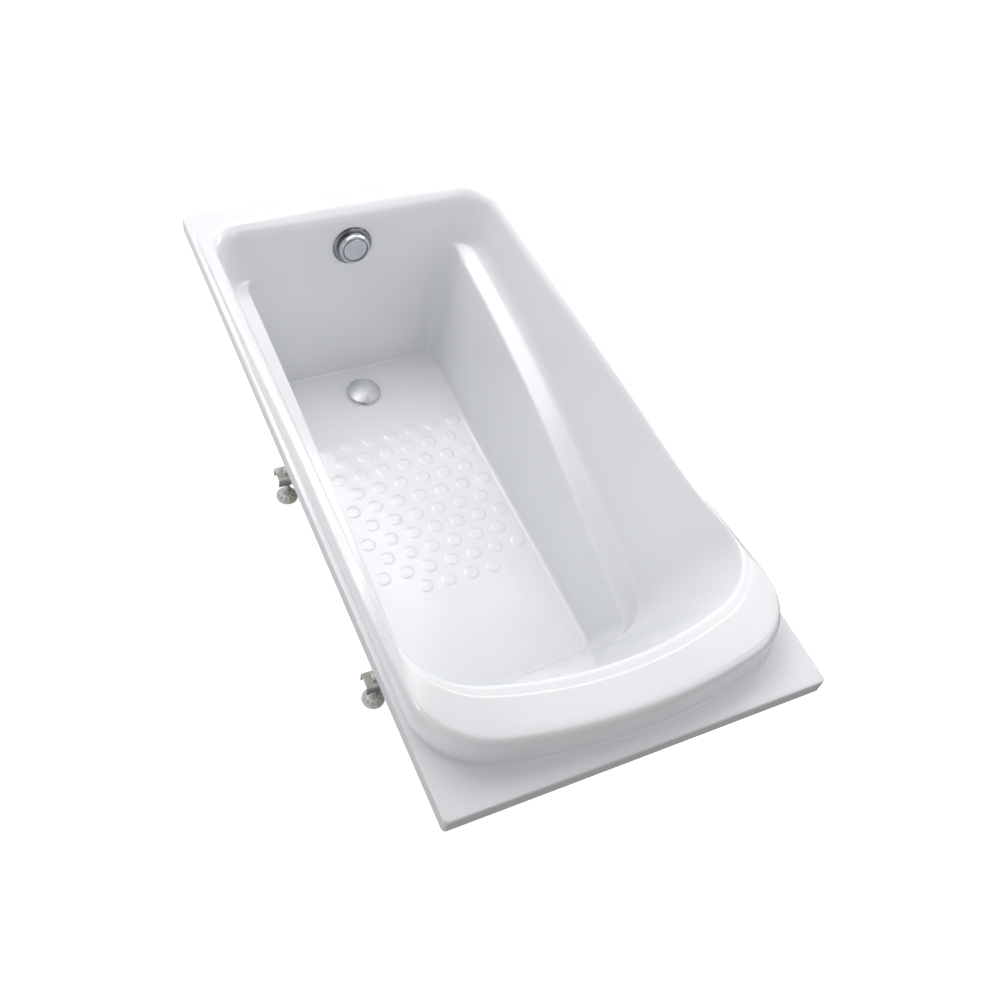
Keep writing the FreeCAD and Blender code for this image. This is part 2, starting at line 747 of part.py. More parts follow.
def make_knob():
    """Turning knob with its front cap, spindle, cable drum and retaining clip."""
    back = faceplate_thickness + knob_gap
    front = back + knob_depth
    floor = front - knob_recess_depth
    shoulder = back + knob_shoulder_depth
    knob = turned([(0, back), (knob_back_radius, back), (knob_shoulder_radius, shoulder),
                   (knob_front_radius, front), (0, front)])
    knob = knob.cut(cylinder(knob_recess_radius, floor, front + cut_overrun))
    inside = ring(knob_shoulder_radius - knob_wall, knob_hub_radius, back - cut_overrun, shoulder - knob_wall)
    knob = knob.cut(inside)
    socket_top = floor - knob_wall
    knob = knob.cut(cylinder(spindle_radius + running_clearance, back - cut_overrun, socket_top))
    cap = turned([(0, floor), (knob_cap_radius, floor), (knob_cap_radius, floor + knob_cap_height / 2),
                  (knob_cap_radius - knob_cap_height / 2, floor + knob_cap_height), (0, floor + knob_cap_height)])
    drum = turned([(spindle_radius + running_clearance, drum_low), (drum_radius, drum_low),
                   (drum_radius - drum_groove, drum_low + drum_height / 2), (drum_radius, drum_low + drum_height),
                   (spindle_radius + running_clearance, drum_low + drum_height)])
    nodes = {
        "overflow_knob": knob.removeSplitter(),
        "knob_cap": cap,
        "knob_spindle": cylinder(spindle_radius, spindle_back, socket_top),
        "cable_drum": drum,
        "spindle_clip": ring(clip_outer, spindle_radius + running_clearance, drum_low - clip_height, drum_low),
    }
    return {name: at_overflow(shape) for name, shape in nodes.items()}


def make_pipes():
    """Overflow pipe with its nuts, and the control cable with its casing."""
    nodes = {}
    line_out = drum_low + drum_height / 2
    pipe_start = overflow_point(housing_radius + pipe_spigot_length, 0, line_out)
    down = (overflow_point(1, 0, line_out) - overflow_point(0, 0, line_out)).normalize()
    pipe_corner = pipe_start + down * ((pipe_start.z - port_height) / -down.z)
    port_end = V(waste_x - body_radius - pipe_port_length, 0, port_height)
    points = [pipe_start, pipe_corner, port_end]
    outer = tube(points, [pipe_bend_radius], pipe_radius)
    inner = tube(points, [pipe_bend_radius], pipe_radius - pipe_wall)
    nodes["overflow_pipe"] = outer.cut(inner)
    upper_nut = Part.makeCylinder(pipe_nut_radius, pipe_nut_length, pipe_start - down * (pipe_nut_length / 2), down)
    upper_bore = Part.makeCylinder(pipe_radius + thread_clearance, pipe_nut_length + 2 * cut_overrun,
                                   pipe_start - down * (pipe_nut_length / 2 + cut_overrun), down)
    nodes["overflow_pipe_nut_upper"] = upper_nut.cut(upper_bore)
    lower_nut = along_drain(ring(pipe_nut_radius, pipe_radius + thread_clearance, 0, pipe_port_length / 2))
    nodes["overflow_pipe_nut_lower"] = moved(lower_nut, port_end.x + pipe_port_length / 2, 0, port_height)

    casing_low = body_bottom - boss_length - lower_nut_cover
    bend_low = casing_low - casing_low_bend_radius
    cable_start = overflow_point(casing_start - cable_nut_length, drum_radius, line_out)
    cable_corner = cable_start + down * ((cable_start.z - bend_low) / -down.z)
    under_waste = V(waste_x, 0, bend_low)
    cable_end = V(waste_x, 0, body_bottom - boss_length)
    casing_points = [cable_start, cable_corner, under_waste, cable_end]
    casing_radii = [casing_bend_radius, casing_low_bend_radius]
    bore = core_radius + running_clearance
    casing = tube(casing_points, casing_radii, casing_radius).cut(tube(casing_points, casing_radii, bore))
    nodes["cable_casing"] = casing
    core_start = overflow_point(0, drum_radius + core_radius, line_out)
    core_meet = overflow_point(casing_start - cable_nut_length, drum_radius, line_out)
    nodes["cable_core"] = Part.makeCylinder(core_radius, (core_meet - core_start).Length, core_start,
                                            core_meet - core_start)
    nut_start = overflow_point(casing_start - cable_nut_length / 2, drum_radius, line_out)
    nut = Part.makeCylinder(cable_nut_radius, cable_nut_length, nut_start, down)
    nodes["cable_nut_upper"] = nut.cut(Part.makeCylinder(
        casing_radius + running_clearance, cable_nut_length + 2 * cut_overrun, nut_start - down * cut_overrun, down))
    lower = ring(lower_nut_radius, casing_radius + running_clearance, cable_end.z - lower_nut_length, cable_end.z)
    nodes["cable_nut_lower"] = moved(lower, waste_x, 0, 0)
    return nodes


def main():
    """Build every node and write it to its own STEP file."""
    nodes = {"tub_shell": make_shell(), "shell_backing": make_backing()}
    nodes.update(make_battens())
    nodes.update(make_base())
    nodes.update(make_feet())
    nodes.update(make_waste())
    nodes.update(make_plug())
    nodes.update(make_overflow())
    nodes.update(make_knob())
    nodes.update(make_pipes())
    os.makedirs("parts", exist_ok=True)
    for name, shape in nodes.items():
        solids = shape.Solids
        print("%-24s %d solid(s) valid %s volume %.1f" % (name, len(solids), shape.isValid(), shape.Volume))
        single = solids[0] if len(solids) == 1 else Part.makeCompound(solids)
        single.exportStep("parts/%s.step" % name)


main()
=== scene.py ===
import math

import bmesh
import bpy
import numpy as np
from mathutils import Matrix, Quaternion, Vector
from mathutils.geometry import delaunay_2d_cdt


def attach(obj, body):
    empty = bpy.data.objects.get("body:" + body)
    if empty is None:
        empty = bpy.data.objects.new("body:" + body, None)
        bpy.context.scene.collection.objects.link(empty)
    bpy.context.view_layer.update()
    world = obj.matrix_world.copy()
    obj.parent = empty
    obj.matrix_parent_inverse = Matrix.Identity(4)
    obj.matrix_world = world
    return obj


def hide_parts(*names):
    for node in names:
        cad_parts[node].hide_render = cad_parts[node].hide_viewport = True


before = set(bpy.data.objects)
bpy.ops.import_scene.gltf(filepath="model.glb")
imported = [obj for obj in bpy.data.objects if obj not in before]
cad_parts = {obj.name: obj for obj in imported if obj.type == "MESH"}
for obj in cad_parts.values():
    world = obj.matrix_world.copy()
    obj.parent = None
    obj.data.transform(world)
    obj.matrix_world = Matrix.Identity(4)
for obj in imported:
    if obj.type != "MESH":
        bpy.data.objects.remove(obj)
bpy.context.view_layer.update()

mm = 0.001  # the tables below are in millimetres, the meshes in metres

# Camera
cameraSetup = {
    "lookAt": (173.5, -50.3, 575.0),
    "azimuth": 55.284,
    "elevation": 51.728,
    "tilt": 13.266,
    "distance": 2261.4,
    "lens": 42.437,
    "shift": (0.01753, -0.00413),
    "sensor": 36,
    "clip": (0.05, 60),
}


def makeCamera(setup):
    turn, lift = math.radians(setup["azimuth"]), math.radians(setup["elevation"])
    back = Vector((math.sin(turn) * math.cos(lift), -math.cos(turn) * math.cos(lift), math.sin(lift)))
    camera = bpy.data.objects.new("photoCamera", bpy.data.cameras.new("photoCamera"))
    bpy.context.scene.collection.objects.link(camera)
    camera.location = (Vector(setup["lookAt"]) + back * setup["distance"]) * mm
    camera.rotation_mode = "QUATERNION"
    roll = Quaternion((0, 0, 1), math.radians(setup["tilt"]))
    camera.rotation_quaternion = (-back).to_track_quat("-Z", "Y") @ roll
    camera.data.lens = setup["lens"]
    camera.data.sensor_width = setup["sensor"]
    camera.data.shift_x, camera.data.shift_y = setup["shift"]
    camera.data.clip_start, camera.data.clip_end = setup["clip"]
    bpy.context.scene.camera = camera


makeCamera(cameraSetup)
print("camera set")

# Finishes: each is two colours that a noise mixes, a roughness range and a fine relief, with metal, a coat,
# chips of one tone, a brushed direction or a glow where it has them
finishes = {
    "acrylicGloss": {
        "colours": ((0.80, 0.81, 0.835), (0.84, 0.85, 0.87)), "patternScale": (3, 3, 3),
        "roughness": (0.13, 0.19), "relief": 0.02, "reliefScale": (260, 260, 260), "coat": 0.4,
    },
    "fibreResin": {
        "colours": ((0.62, 0.58, 0.42), (0.80, 0.77, 0.64)), "patternScale": (90, 90, 18),
        "roughness": (0.45, 0.8), "relief": 0.6, "reliefScale": (240, 240, 60), "detail": 8,
    },
    "sawnTimber": {
        "colours": ((0.42, 0.27, 0.13), (0.68, 0.50, 0.30)), "patternScale": (7, 90, 90),
        "roughness": (0.55, 0.8), "relief": 0.35, "reliefScale": (14, 320, 320), "detail": 6,
    },
    "sawnTimberAcross": {
        "colours": ((0.42, 0.27, 0.13), (0.68, 0.50, 0.30)), "patternScale": (90, 7, 90),
        "roughness": (0.55, 0.8), "relief": 0.35, "reliefScale": (320, 14, 320), "detail": 6,
    },
    "pressedBoard": {
        "colours": ((0.34, 0.22, 0.12), (0.60, 0.45, 0.28)), "patternScale": (130, 130, 130),
        "roughness": (0.6, 0.85), "relief": 0.4, "reliefScale": (300, 300, 300), "detail": 5, "chips": True,
    },
    "galvanised": {
        "colours": ((0.58, 0.60, 0.62), (0.76, 0.78, 0.80)), "patternScale": (60, 60, 60), "metal": 1,
        "roughness": (0.32, 0.5), "relief": 0.06, "reliefScale": (200, 200, 200), "chips": True,
    },
    "zincPlate": {
        "colours": ((0.72, 0.72, 0.705), (0.84, 0.84, 0.82)), "patternScale": (180, 180, 40), "metal": 1,
        "roughness": (0.28, 0.42), "relief": 0.08, "reliefScale": (900, 900, 120),
    },
    "mouldedGrey": {
        "colours": ((0.72, 0.72, 0.71), (0.80, 0.80, 0.79)), "patternScale": (60, 60, 60),
        "roughness": (0.4, 0.6), "relief": 0.15, "reliefScale": (900, 900, 900),
    },
    "blackRubber": {
        "colours": ((0.012, 0.012, 0.012), (0.03, 0.03, 0.03)), "patternScale": (120, 120, 120),
        "roughness": (0.6, 0.8), "relief": 0.2, "reliefScale": (700, 700, 700),
    },
    "polishedChrome": {
        "colours": ((0.72, 0.73, 0.76), (0.80, 0.81, 0.83)), "patternScale": (40, 40, 40), "metal": 1,
        "roughness": (0.05, 0.11), "relief": 0.01, "reliefScale": (900, 900, 900),
    },
    # dark chrome standing for painted shade: the shadowed gap behind the overflow knob and the knob's groove
    "paintedShadeChrome": {
        "colours": ((0.24, 0.245, 0.26), (0.30, 0.305, 0.32)), "patternScale": (40, 40, 40), "metal": 1,
        "roughness": (0.10, 0.16), "relief": 0.01, "reliefScale": (900, 900, 900),
    },
    "satinChrome": {
        "colours": ((0.56, 0.57, 0.60), (0.64, 0.65, 0.68)), "patternScale": (40, 40, 40), "metal": 1,
        "roughness": (0.22, 0.28), "relief": 0.01, "reliefScale": (900, 900, 900),
    },
    "brushedChrome": {
        "colours": ((0.66, 0.67, 0.70), (0.76, 0.77, 0.80)), "patternScale": (40, 40, 40), "metal": 1,
        "roughness": (0.34, 0.40), "relief": 0.01, "reliefScale": (900, 900, 900), "brushed": (0.821, -0.570, 0),
    },
    "mouldedWhite": {
        "colours": ((0.66, 0.66, 0.65), (0.76, 0.76, 0.75)), "patternScale": (25, 25, 25),
        "roughness": (0.35, 0.5), "relief": 0.08, "reliefScale": (800, 800, 800),
    },
    "machinedBrass": {
        "colours": ((0.55, 0.38, 0.14), (0.72, 0.52, 0.22)), "patternScale": (60, 60, 400), "metal": 1,
        "roughness": (0.18, 0.32), "relief": 0.08, "reliefScale": (200, 200, 1600),
    },
    "nylonCream": {
        "colours": ((0.56, 0.53, 0.45), (0.66, 0.63, 0.55)), "patternScale": (50, 50, 50),
        "roughness": (0.4, 0.55), "relief": 0.08, "reliefScale": (700, 700, 700),
    },
    "cableJacket": {
        "colours": ((0.03, 0.032, 0.036), (0.055, 0.057, 0.062)), "patternScale": (80, 80, 80),
        "roughness": (0.35, 0.5), "relief": 0.12, "reliefScale": (600, 600, 600),
    },
    "studioFloor": {
        "colours": ((0.88, 0.88, 0.885), (0.90, 0.90, 0.905)), "patternScale": (1.2, 1.2, 1.2),
        "roughness": (0.75, 0.85), "relief": 0.01, "reliefScale": (90, 90, 90), "glow": 0.75,
    },
    "studioBackdrop": {
        "colours": ((0.88, 0.88, 0.885), (0.90, 0.90, 0.905)), "patternScale": (0.2, 0.2, 0.2),
        "roughness": (0.75, 0.85), "relief": 0.0, "reliefScale": (10, 10, 10), "glow": 1.0,
    },
}

finishForm = {"mixRange": (0.3, 0.7), "reliefDepth": 0.001, "coatRoughness": 0.1, "brushing": 0.9, "detail": 3}


def makeFinish(name):
    spec = finishes[name]
    material = bpy.data.materials.new(name)
    material.use_nodes = True
    nodes, links = material.node_tree.nodes, material.node_tree.links
    shader = nodes["Principled BSDF"]
    place = nodes.new("ShaderNodeTexCoord")

    def noise(scale, detail):
        mapping = nodes.new("ShaderNodeMapping")
        mapping.inputs["Scale"].default_value = scale
        links.new(place.outputs["Object"], mapping.inputs["Vector"])
        texture = nodes.new("ShaderNodeTexNoise")
        texture.inputs["Scale"].default_value = 1
        texture.inputs["Detail"].default_value = detail
        links.new(mapping.outputs["Vector"], texture.inputs["Vector"])
        return texture, mapping

    detail = spec.get("detail", finishForm["detail"])
    pattern, patternPlace = noise(spec["patternScale"], detail)
    source = pattern.outputs["Fac"]
    if spec.get("chips"):
        chips = nodes.new("ShaderNodeTexVoronoi")
        chips.inputs["Scale"].default_value = 1
        links.new(patternPlace.outputs["Vector"], chips.inputs["Vector"])
        source = chips.outputs["Color"]
    ramp = nodes.new("ShaderNodeValToRGB")
    for element, colour, position in zip(ramp.color_ramp.elements, spec["colours"], finishForm["mixRange"]):
        element.position = position
        element.color = (*colour, 1)
    links.new(source, ramp.inputs["Fac"])
    links.new(ramp.outputs["Color"], shader.inputs["Base Color"])

    dull = nodes.new("ShaderNodeMapRange")
    dull.inputs["To Min"].default_value, dull.inputs["To Max"].default_value = spec["roughness"]
    links.new(pattern.outputs["Fac"], dull.inputs["Value"])
    links.new(dull.outputs["Result"], shader.inputs["Roughness"])

    relief, _ = noise(spec["reliefScale"], detail)
    bump = nodes.new("ShaderNodeBump")
    bump.inputs["Strength"].default_value = spec["relief"]
    bump.inputs["Distance"].default_value = finishForm["reliefDepth"]
    links.new(relief.outputs["Fac"], bump.inputs["Height"])
    links.new(bump.outputs["Normal"], shader.inputs["Normal"])

    shader.inputs["Metallic"].default_value = spec.get("metal", 0)
    shader.inputs["Coat Weight"].default_value = spec.get("coat", 0)
    shader.inputs["Coat Roughness"].default_value = finishForm["coatRoughness"]
    if spec.get("brushed"):
        along = nodes.new("ShaderNodeCombineXYZ")
        for socket, value in zip(along.inputs, spec["brushed"]):
            socket.default_value = value
        links.new(along.outputs["Vector"], shader.inputs["Tangent"])
        shader.inputs["Anisotropic"].default_value = finishForm["brushing"]
    if spec.get("glow"):
        shader.inputs["Emission Color"].default_value = (1, 1, 1, 1)
        shader.inputs["Emission Strength"].default_value = spec["glow"]
    return material


materials = {name: makeFinish(name) for name in finishes}
print("finishes made")


def addPiece(name, points, faces, body, finish, replaced):
    mesh = bpy.data.meshes.new(name)
    mesh.from_pydata([(x * mm, y * mm, z * mm) for x, y, z in points], [], faces)
    mesh.validate()
    mesh.shade_smooth()
    mesh.materials.append(materials[finish])
    piece = bpy.data.objects.new(name, mesh)
    bpy.context.scene.collection.objects.link(piece)
    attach(piece, body)
    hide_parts(replaced)
    return piece


def bakeModifiers(piece):
    graph = bpy.context.evaluated_depsgraph_get()
    made = bpy.data.meshes.new_from_object(piece.evaluated_get(graph))
    piece.modifiers.clear()
    piece.data = made


# Tub form: plan shapes at the floor and at the deck, the same numbers as the solids
tub = {
    "halfLength": 750.0, "deck": 575.0, "floor": 115.0, "lip": 34.0, "wall": 4.0,
    "bondGap": 0.3, "backing": 3.0, "wasteX": -521.0, "wasteHole": 26.0, "overflowHeight": 483.0,
    "overflowHole": 28.0,
}
deckPlan = {"drain": -750.0, "head": 750.0, "side": 375.0, "smallCorner": 8.0, "largeCorner": 8.0, "bow": 2e5}
wellFloor = {"drain": -604.0, "head": 352.0, "side": 255.0, "smallCorner": 98.0, "largeCorner": 60.0,
             "bow": 1800.0}
wellDeck = {"drain": -676.0, "head": 580.0, "side": 333.0, "smallCorner": 64.0, "largeCorner": 140.0,
            "bow": 900.0}
seatFloor = dict(wellFloor, side=217.0, smallCorner=24.0, largeCorner=32.0)
seatDeck = dict(wellDeck, side=281.0, smallCorner=34.0, largeCorner=76.0)
rimPlan = {"drain": -690.0, "head": 709.0, "side": 358.0, "smallCorner": 40.0, "largeCorner": 138.0,
           "bow": 1110.0}
rimForm = {
    "height": 64.0, "draft": 6.0, "least": 0.35, "mostShare": 1.01, "soft": 5.0, "softBelow": 40.0,
    "line": ((-1.05, -0.30), (-0.853, 0.0), (-0.60, 0.13), (-0.333, 0.28), (-0.067, 0.39), (0.20, 0.445),
             (0.42, 0.475), (0.60, 0.64), (0.747, 0.905), (0.88, 1.0), (1.05, 1.0)),
}
shoulderForm = {
    "width": 21.0, "slope": 0.06, "step": 2.6, "stepRun": 4.5, "leastRun": 0.1, "fullFrom": 60.0,
    "lowShare": 0.9, "mostShare": 0.5,  # shares of the rim's top, where it lies low and where it stands full
}
coveForm = {"height": 58.0, "mostShare": 0.6, "lean": -2.5, "rounding": 2.0, "foot": 3.2, "footWidth": 4.0}
floorBorder = {"foot": 13.2, "inner": 15.0}
drainRim = {"spread": 22.0, "rounding": 44.0}
ledgeForm = {
    "drop": 305.0, "edge": 260.0, "slope": 0.4, "spread": 12.0, "spreadFrom": 0.35, "firstGuess": 400.0,
    "curl": 14.0, "curlFrom": -598.0, "curlRun": 58.0,
    "line": ((-0.97, 0.45), (-0.573, 0.50), (-0.30, 0.572), (0.08, 0.735), (0.31, 0.852), (0.54, 0.985),
             (0.76, 1.13)),
}
roundings = {  # radii where the rim lies low, and where it stands full
    "deckEdge": (5.0, 5.0), "rimFoot": (8.0, 6.0), "rimOuter": (12.0, 17.0), "stepTop": (8.0, 1.6),
    "stepFoot": (8.0, 3.0), "rimInner": (26.0, 12.0), "ledgeOuter": (30.0, 24.0), "ledgeInner": (8.0, 8.0),
    "cove": (14.0, 14.0), "floor": (24.0, 18.0), "floorFoot": (2.0, 2.0),
}
runForm = {
    "steps": (3, 8, 4, 5, 2, 4, 16, 5, 10, 5, 2, 1),  # quads along each straight run of the section
    "arcSteps": 9, "room": 0.96, "leastReach": 4.0, "nearStraight": 0.15,
}
stationCounts = (14, 16, 84, 30, 26)  # half the drain end, its corner, a side, the head corner, half the head end
sharpAngles = {"shell": 40, "fitting": 35, "solid": 30, "bevel": 40}  # edges that turn more stay sharp
holeForm = {"sides": 64, "depth": 80.0, "insideShare": 0.99}
backingForm = {"fromLevel": 30, "top": 560.0}  # where the fibre layer starts on the section

# The drain wall leans, and the overflow stands square on it
drainLean = math.atan2(wellDeck["drain"] - wellFloor["drain"], tub["deck"] - tub["floor"])
overflowX = wellDeck["drain"] - (tub["deck"] - tub["overflowHeight"]) * math.tan(drainLean)
overflowTurn = Quaternion((0, 1, 0), math.pi / 2 + drainLean)
overflowPlace = Vector((overflowX, 0, tub["overflowHeight"]))


def smoothLine(line):
    # natural cubic spline through the points
    xs, ys = (np.array(values, dtype=float) for values in zip(*line))
    gaps = np.diff(xs)
    count = len(xs)
    grid, slopes = np.eye(count), np.zeros(count)
    for i in range(1, count - 1):
        grid[i, i - 1:i + 2] = gaps[i - 1], 2 * (gaps[i - 1] + gaps[i]), gaps[i]
        slopes[i] = 6 * ((ys[i + 1] - ys[i]) / gaps[i] - (ys[i] - ys[i - 1]) / gaps[i - 1])
    bends = np.linalg.solve(grid, slopes)

    def value(x):
        i = int(np.clip(np.searchsorted(xs, x) - 1, 0, count - 2))
        left, right, gap = x - xs[i], xs[i + 1] - x, gaps[i]
        return float((bends[i] * right ** 3 + bends[i + 1] * left ** 3) / (6 * gap)
                     + (ys[i] / gap - bends[i] * gap / 6) * right + (ys[i + 1] / gap - bends[i + 1] * gap / 6) * left)

    return value


rimLine = smoothLine(rimForm["line"])
ledgeLine = smoothLine(ledgeForm["line"])


def rimHeight(x):
    height, soft = rimForm["height"] * min(rimLine(x / tub["halfLength"]), rimForm["mostShare"]), rimForm["soft"]
    if height >= rimForm["softBelow"]:
        return height
    return rimForm["least"] + (height + math.sqrt(height * height + soft * soft)) / 2


def ledgeHeight(x, y):
    curl = max(0, (ledgeForm["curlFrom"] - x) / ledgeForm["curlRun"]) ** 2 * ledgeForm["curl"]
    return (tub["deck"] - ledgeForm["drop"] * ledgeLine(x / tub["halfLength"]) + curl
            + ledgeForm["slope"] * (abs(y) - ledgeForm["edge"]))


def drainShare(part, share):
    # 1 on the drain end, fading round its corner
    return {0: 1.0, 1: (1 - share) ** 2}.get(part, 0.0)


def ledgeSpread(part, share):
    # keeps the ledge's two lines apart where the walls above and below it are one
    ease = min(max((share - ledgeForm["spreadFrom"]) / (1 - ledgeForm["spreadFrom"]), 0), 1)
    return {0: (1 - share) ** 2, 3: ease * ease * (3 - 2 * ease), 4: 1.0}.get(part, 0) * ledgeForm["spread"]


def bowMeet(plan):
    # where the large corner runs into the head end's bow: the corner's middle and the turn there
    large, bow = plan["largeCorner"], plan["bow"]
    largeY, bowX = plan["side"] - large, plan["head"] - bow
    largeX = bowX + math.sqrt((bow - large) ** 2 - largeY ** 2)
    return largeX, largeY, bowX, math.atan2(largeY, largeX - bowX)


def planPoint(plan, part, share, handover=None):
    # the handover is the half width at which the corner's share ends and the head end's begins
    small, large, bow, side = plan["smallCorner"], plan["largeCorner"], plan["bow"], plan["side"]
    largeX, largeY, bowX, meet = bowMeet(plan)
    last = min(meet, math.asin(handover / bow)) if handover else meet
    if part == 0:
        return plan["drain"], (side - small) * share
    if part == 1:
        turn = math.pi / 2 * share
        return plan["drain"] + small * (1 - math.cos(turn)), side - small * (1 - math.sin(turn))
    if part == 2:
        return plan["drain"] + small + (largeX - plan["drain"] - small) * share, side
    if part == 3:
        corner = large * (math.pi / 2 - meet)
        along = share * (corner + bow * (meet - last))
        if along <= corner:
            turn = math.pi / 2 - along / large
            return largeX + large * math.cos(turn), largeY + large * math.sin(turn)
        turn = meet - (along - corner) / bow
    else:
        turn = last * (1 - share)
    return bowX + bow * math.cos(turn), bow * math.sin(turn)


def grown(plan, offset):
    return {"drain": plan["drain"] - offset, "head": plan["head"] + offset, "side": plan["side"] + offset,
            "smallCorner": plan["smallCorner"] + offset, "largeCorner": plan["largeCorner"] + offset,
            "bow": plan["bow"] + offset}


def wallPoint(low, high, z, part, share):
    mix = (z - tub["floor"]) / (tub["deck"] - tub["floor"])
    plan, seat = ({key: foot[key] + (top[key] - foot[key]) * mix for key in foot}
                  for foot, top in ((low, high), (seatFloor, seatDeck)))
    return planPoint(plan, part, share, seat["bow"] * math.sin(bowMeet(seat)[3]))


def onLine(low, high, heightOf, start, part, share, rounds=12, approach=0.8):
    # the point where a leaning wall meets a surface given by its height
    z = start
    for _ in range(rounds):
        x, y = wallPoint(low, high, z, part, share)
        z = z + (heightOf(x, y) - z) * approach
    x, y = wallPoint(low, high, z, part, share)
    return Vector((x, y, z))


def sectionPoints(part, share):
    deck, floor = tub["deck"], tub["floor"]
    edge = planPoint(deckPlan, part, share)
    spread = drainRim["spread"] * drainShare(part, share)
    footX, footY = planPoint(grown(rimPlan, rimForm["draft"] + spread), part, share)
    topHeight = rimHeight(planPoint(rimPlan, part, share)[0])
    lean = rimForm["draft"] * (1 - topHeight / rimForm["height"])
    topX, topY = planPoint(grown(rimPlan, lean + spread), part, share)
    full = topHeight / rimForm["height"]
    inner = onLine(wellFloor, wellDeck, lambda x, y: deck + rimHeight(x), deck, part, share)
    across = Vector((topX, topY)) - inner.xy
    wide = across.length
    width = (wide * shoulderForm["lowShare"] * (1 - full)
             + min(shoulderForm["width"], wide * shoulderForm["mostShare"]) * full)
    runShare = shoulderForm["leastRun"] + (1 - shoulderForm["leastRun"]) * full
    stepWidth = width + shoulderForm["stepRun"] * runShare * min(wide / shoulderForm["fullFrom"], 1)
    step = shoulderForm["step"] * full ** 3
    stepTop = Vector((*(inner.xy + across * (stepWidth / wide)), deck + topHeight))
    stepFoot = Vector((*(inner.xy + across * (width / wide)), deck + topHeight - step))
    fall = step + shoulderForm["slope"] * width * full ** 3
    inner = onLine(wellFloor, wellDeck, lambda x, y: deck + topHeight - fall, deck, part, share)
    spread = ledgeSpread(part, share)
    guess = ledgeForm["firstGuess"]
    ledgeOut = onLine(wellFloor, wellDeck, lambda x, y: ledgeHeight(x, y) + spread, guess, part, share)
    ledgeIn = onLine(seatFloor, seatDeck, lambda x, y: ledgeHeight(x, y) - spread, guess, part, share)
    coveHeight = floor + min(coveForm["height"], (ledgeIn.z - floor) * coveForm["mostShare"])
    cove = wallPoint(seatFloor, seatDeck, coveHeight, part, share)
    drain = drainShare(part, share)
    floorEdge = planPoint(grown(seatFloor, -coveForm["lean"] * drain), part, share)
    footReach = floorBorder["foot"] + (coveForm["lean"] + coveForm["footWidth"] - floorBorder["foot"]) * drain
    floorFoot = planPoint(grown(seatFloor, -footReach), part, share)
    floorIn = planPoint(grown(seatFloor, -floorBorder["inner"]), part, share)
    return [
        Vector((*edge, deck - tub["lip"])), Vector((*edge, deck)), Vector((footX, footY, deck)),
        Vector((topX, topY, deck + topHeight)), stepTop, stepFoot, inner, ledgeOut, ledgeIn,
        Vector((*cove, coveHeight)), Vector((*floorEdge, floor + coveForm["foot"] * drain)),
        Vector((*floorFoot, floor)), Vector((*floorIn, floor))]


def arcPoints(corner, back, ahead, reach, steps):
    turn = math.pi - back.angle(ahead)
    start, end = corner + back * reach, corner + ahead * reach
    if turn < 2e-3:
        return [start.lerp(end, step / steps) for step in range(steps + 1)]
    middle = corner + (back + ahead).normalized() * (reach / math.sin(turn / 2))
    first, final = start - middle, end - middle
    return [middle + (first * math.sin((1 - step / steps) * turn) + final * math.sin(step / steps * turn))
            / math.sin(turn) for step in range(steps + 1)]


def roundedRun(corners, radii):
    # straight runs with an arc at each inner corner, the same number of points for every station
    arcs = []
    reaches = []
    for before, corner, after, radius in zip(corners, corners[1:], corners[2:], radii):
        back, ahead = (before - corner).normalized(), (after - corner).normalized()
        turn = math.pi - back.angle(ahead)
        least = runForm["leastReach"] if turn < runForm["nearStraight"] else 0
        reaches.append(max(radius * math.tan(turn / 2), least))
        arcs.append((back, ahead))
    for i, (start, end) in enumerate(zip(corners, corners[1:])):
        room = (end - start).length * runForm["room"]
        used = (reaches[i - 1] if i > 0 else 0) + (reaches[i] if i < len(reaches) else 0)
        if used > room:
            if i > 0:
                reaches[i - 1] *= room / used
            if i < len(reaches):
                reaches[i] *= room / used
    line = [corners[0]]
    for corner, reach, (back, ahead), steps in zip(corners[1:], reaches, arcs, runForm["steps"]):
        arc = arcPoints(corner, back, ahead, reach, runForm["arcSteps"])
        last = line[-1]
        line += [last.lerp(arc[0], step / steps) for step in range(1, steps)] + arc
    last, steps = line[-1], runForm["steps"][-1]
    line += [last.lerp(corners[-1], step / steps) for step in range(1, steps + 1)]
    return line


def sectionRadii(corners, part, share):
    full = (corners[3].z - tub["deck"]) / rimForm["height"]
    radii = {corner: low + (high - low) * full for corner, (low, high) in roundings.items()}
    for corner, rounding in (("rimInner", drainRim["rounding"]), ("floor", coveForm["rounding"])):
        radii[corner] += (rounding - radii[corner]) * drainShare(part, share)
    return list(radii.values())


def makeStations():
    half = [(part, step / count) for part, count in enumerate(stationCounts) for step in range(count)]
    half.append((len(stationCounts) - 1, 1.0))
    return [(part, share, 1) for part, share in half] + [(part, share, -1) for part, share in half[-2:0:-1]]


# Anti-slip bumps: low rounded discs in staggered rows
bumpForm = {
    "radius": 18.0, "pitch": 56.5, "headX": 70.0, "middleY": 13.0, "rowCounts": (4, 7, 6, 7, 6, 7, 6, 7, 6, 7),
    "rings": ((1.06, 0.0), (1.0, 0.03), (0.93, 0.26), (0.85, 0.66), (0.77, 0.98), (0.68, 1.14), (0.56, 1.2),
              (0.25, 1.2)),
    "points": 28,
}


def bumpPlaces():
    places = []
    for row, count in enumerate(bumpForm["rowCounts"]):
        x = bumpForm["headX"] - row * bumpForm["pitch"] * math.sin(math.radians(60))
        places += [(x, bumpForm["middleY"] + (place - (count - 1) / 2) * bumpForm["pitch"]) for place in range(count)]
    return places


def circle(x, y, radius, count):
    return [(x + radius * math.cos(math.tau * i / count), y + radius * math.sin(math.tau * i / count))
            for i in range(count)]


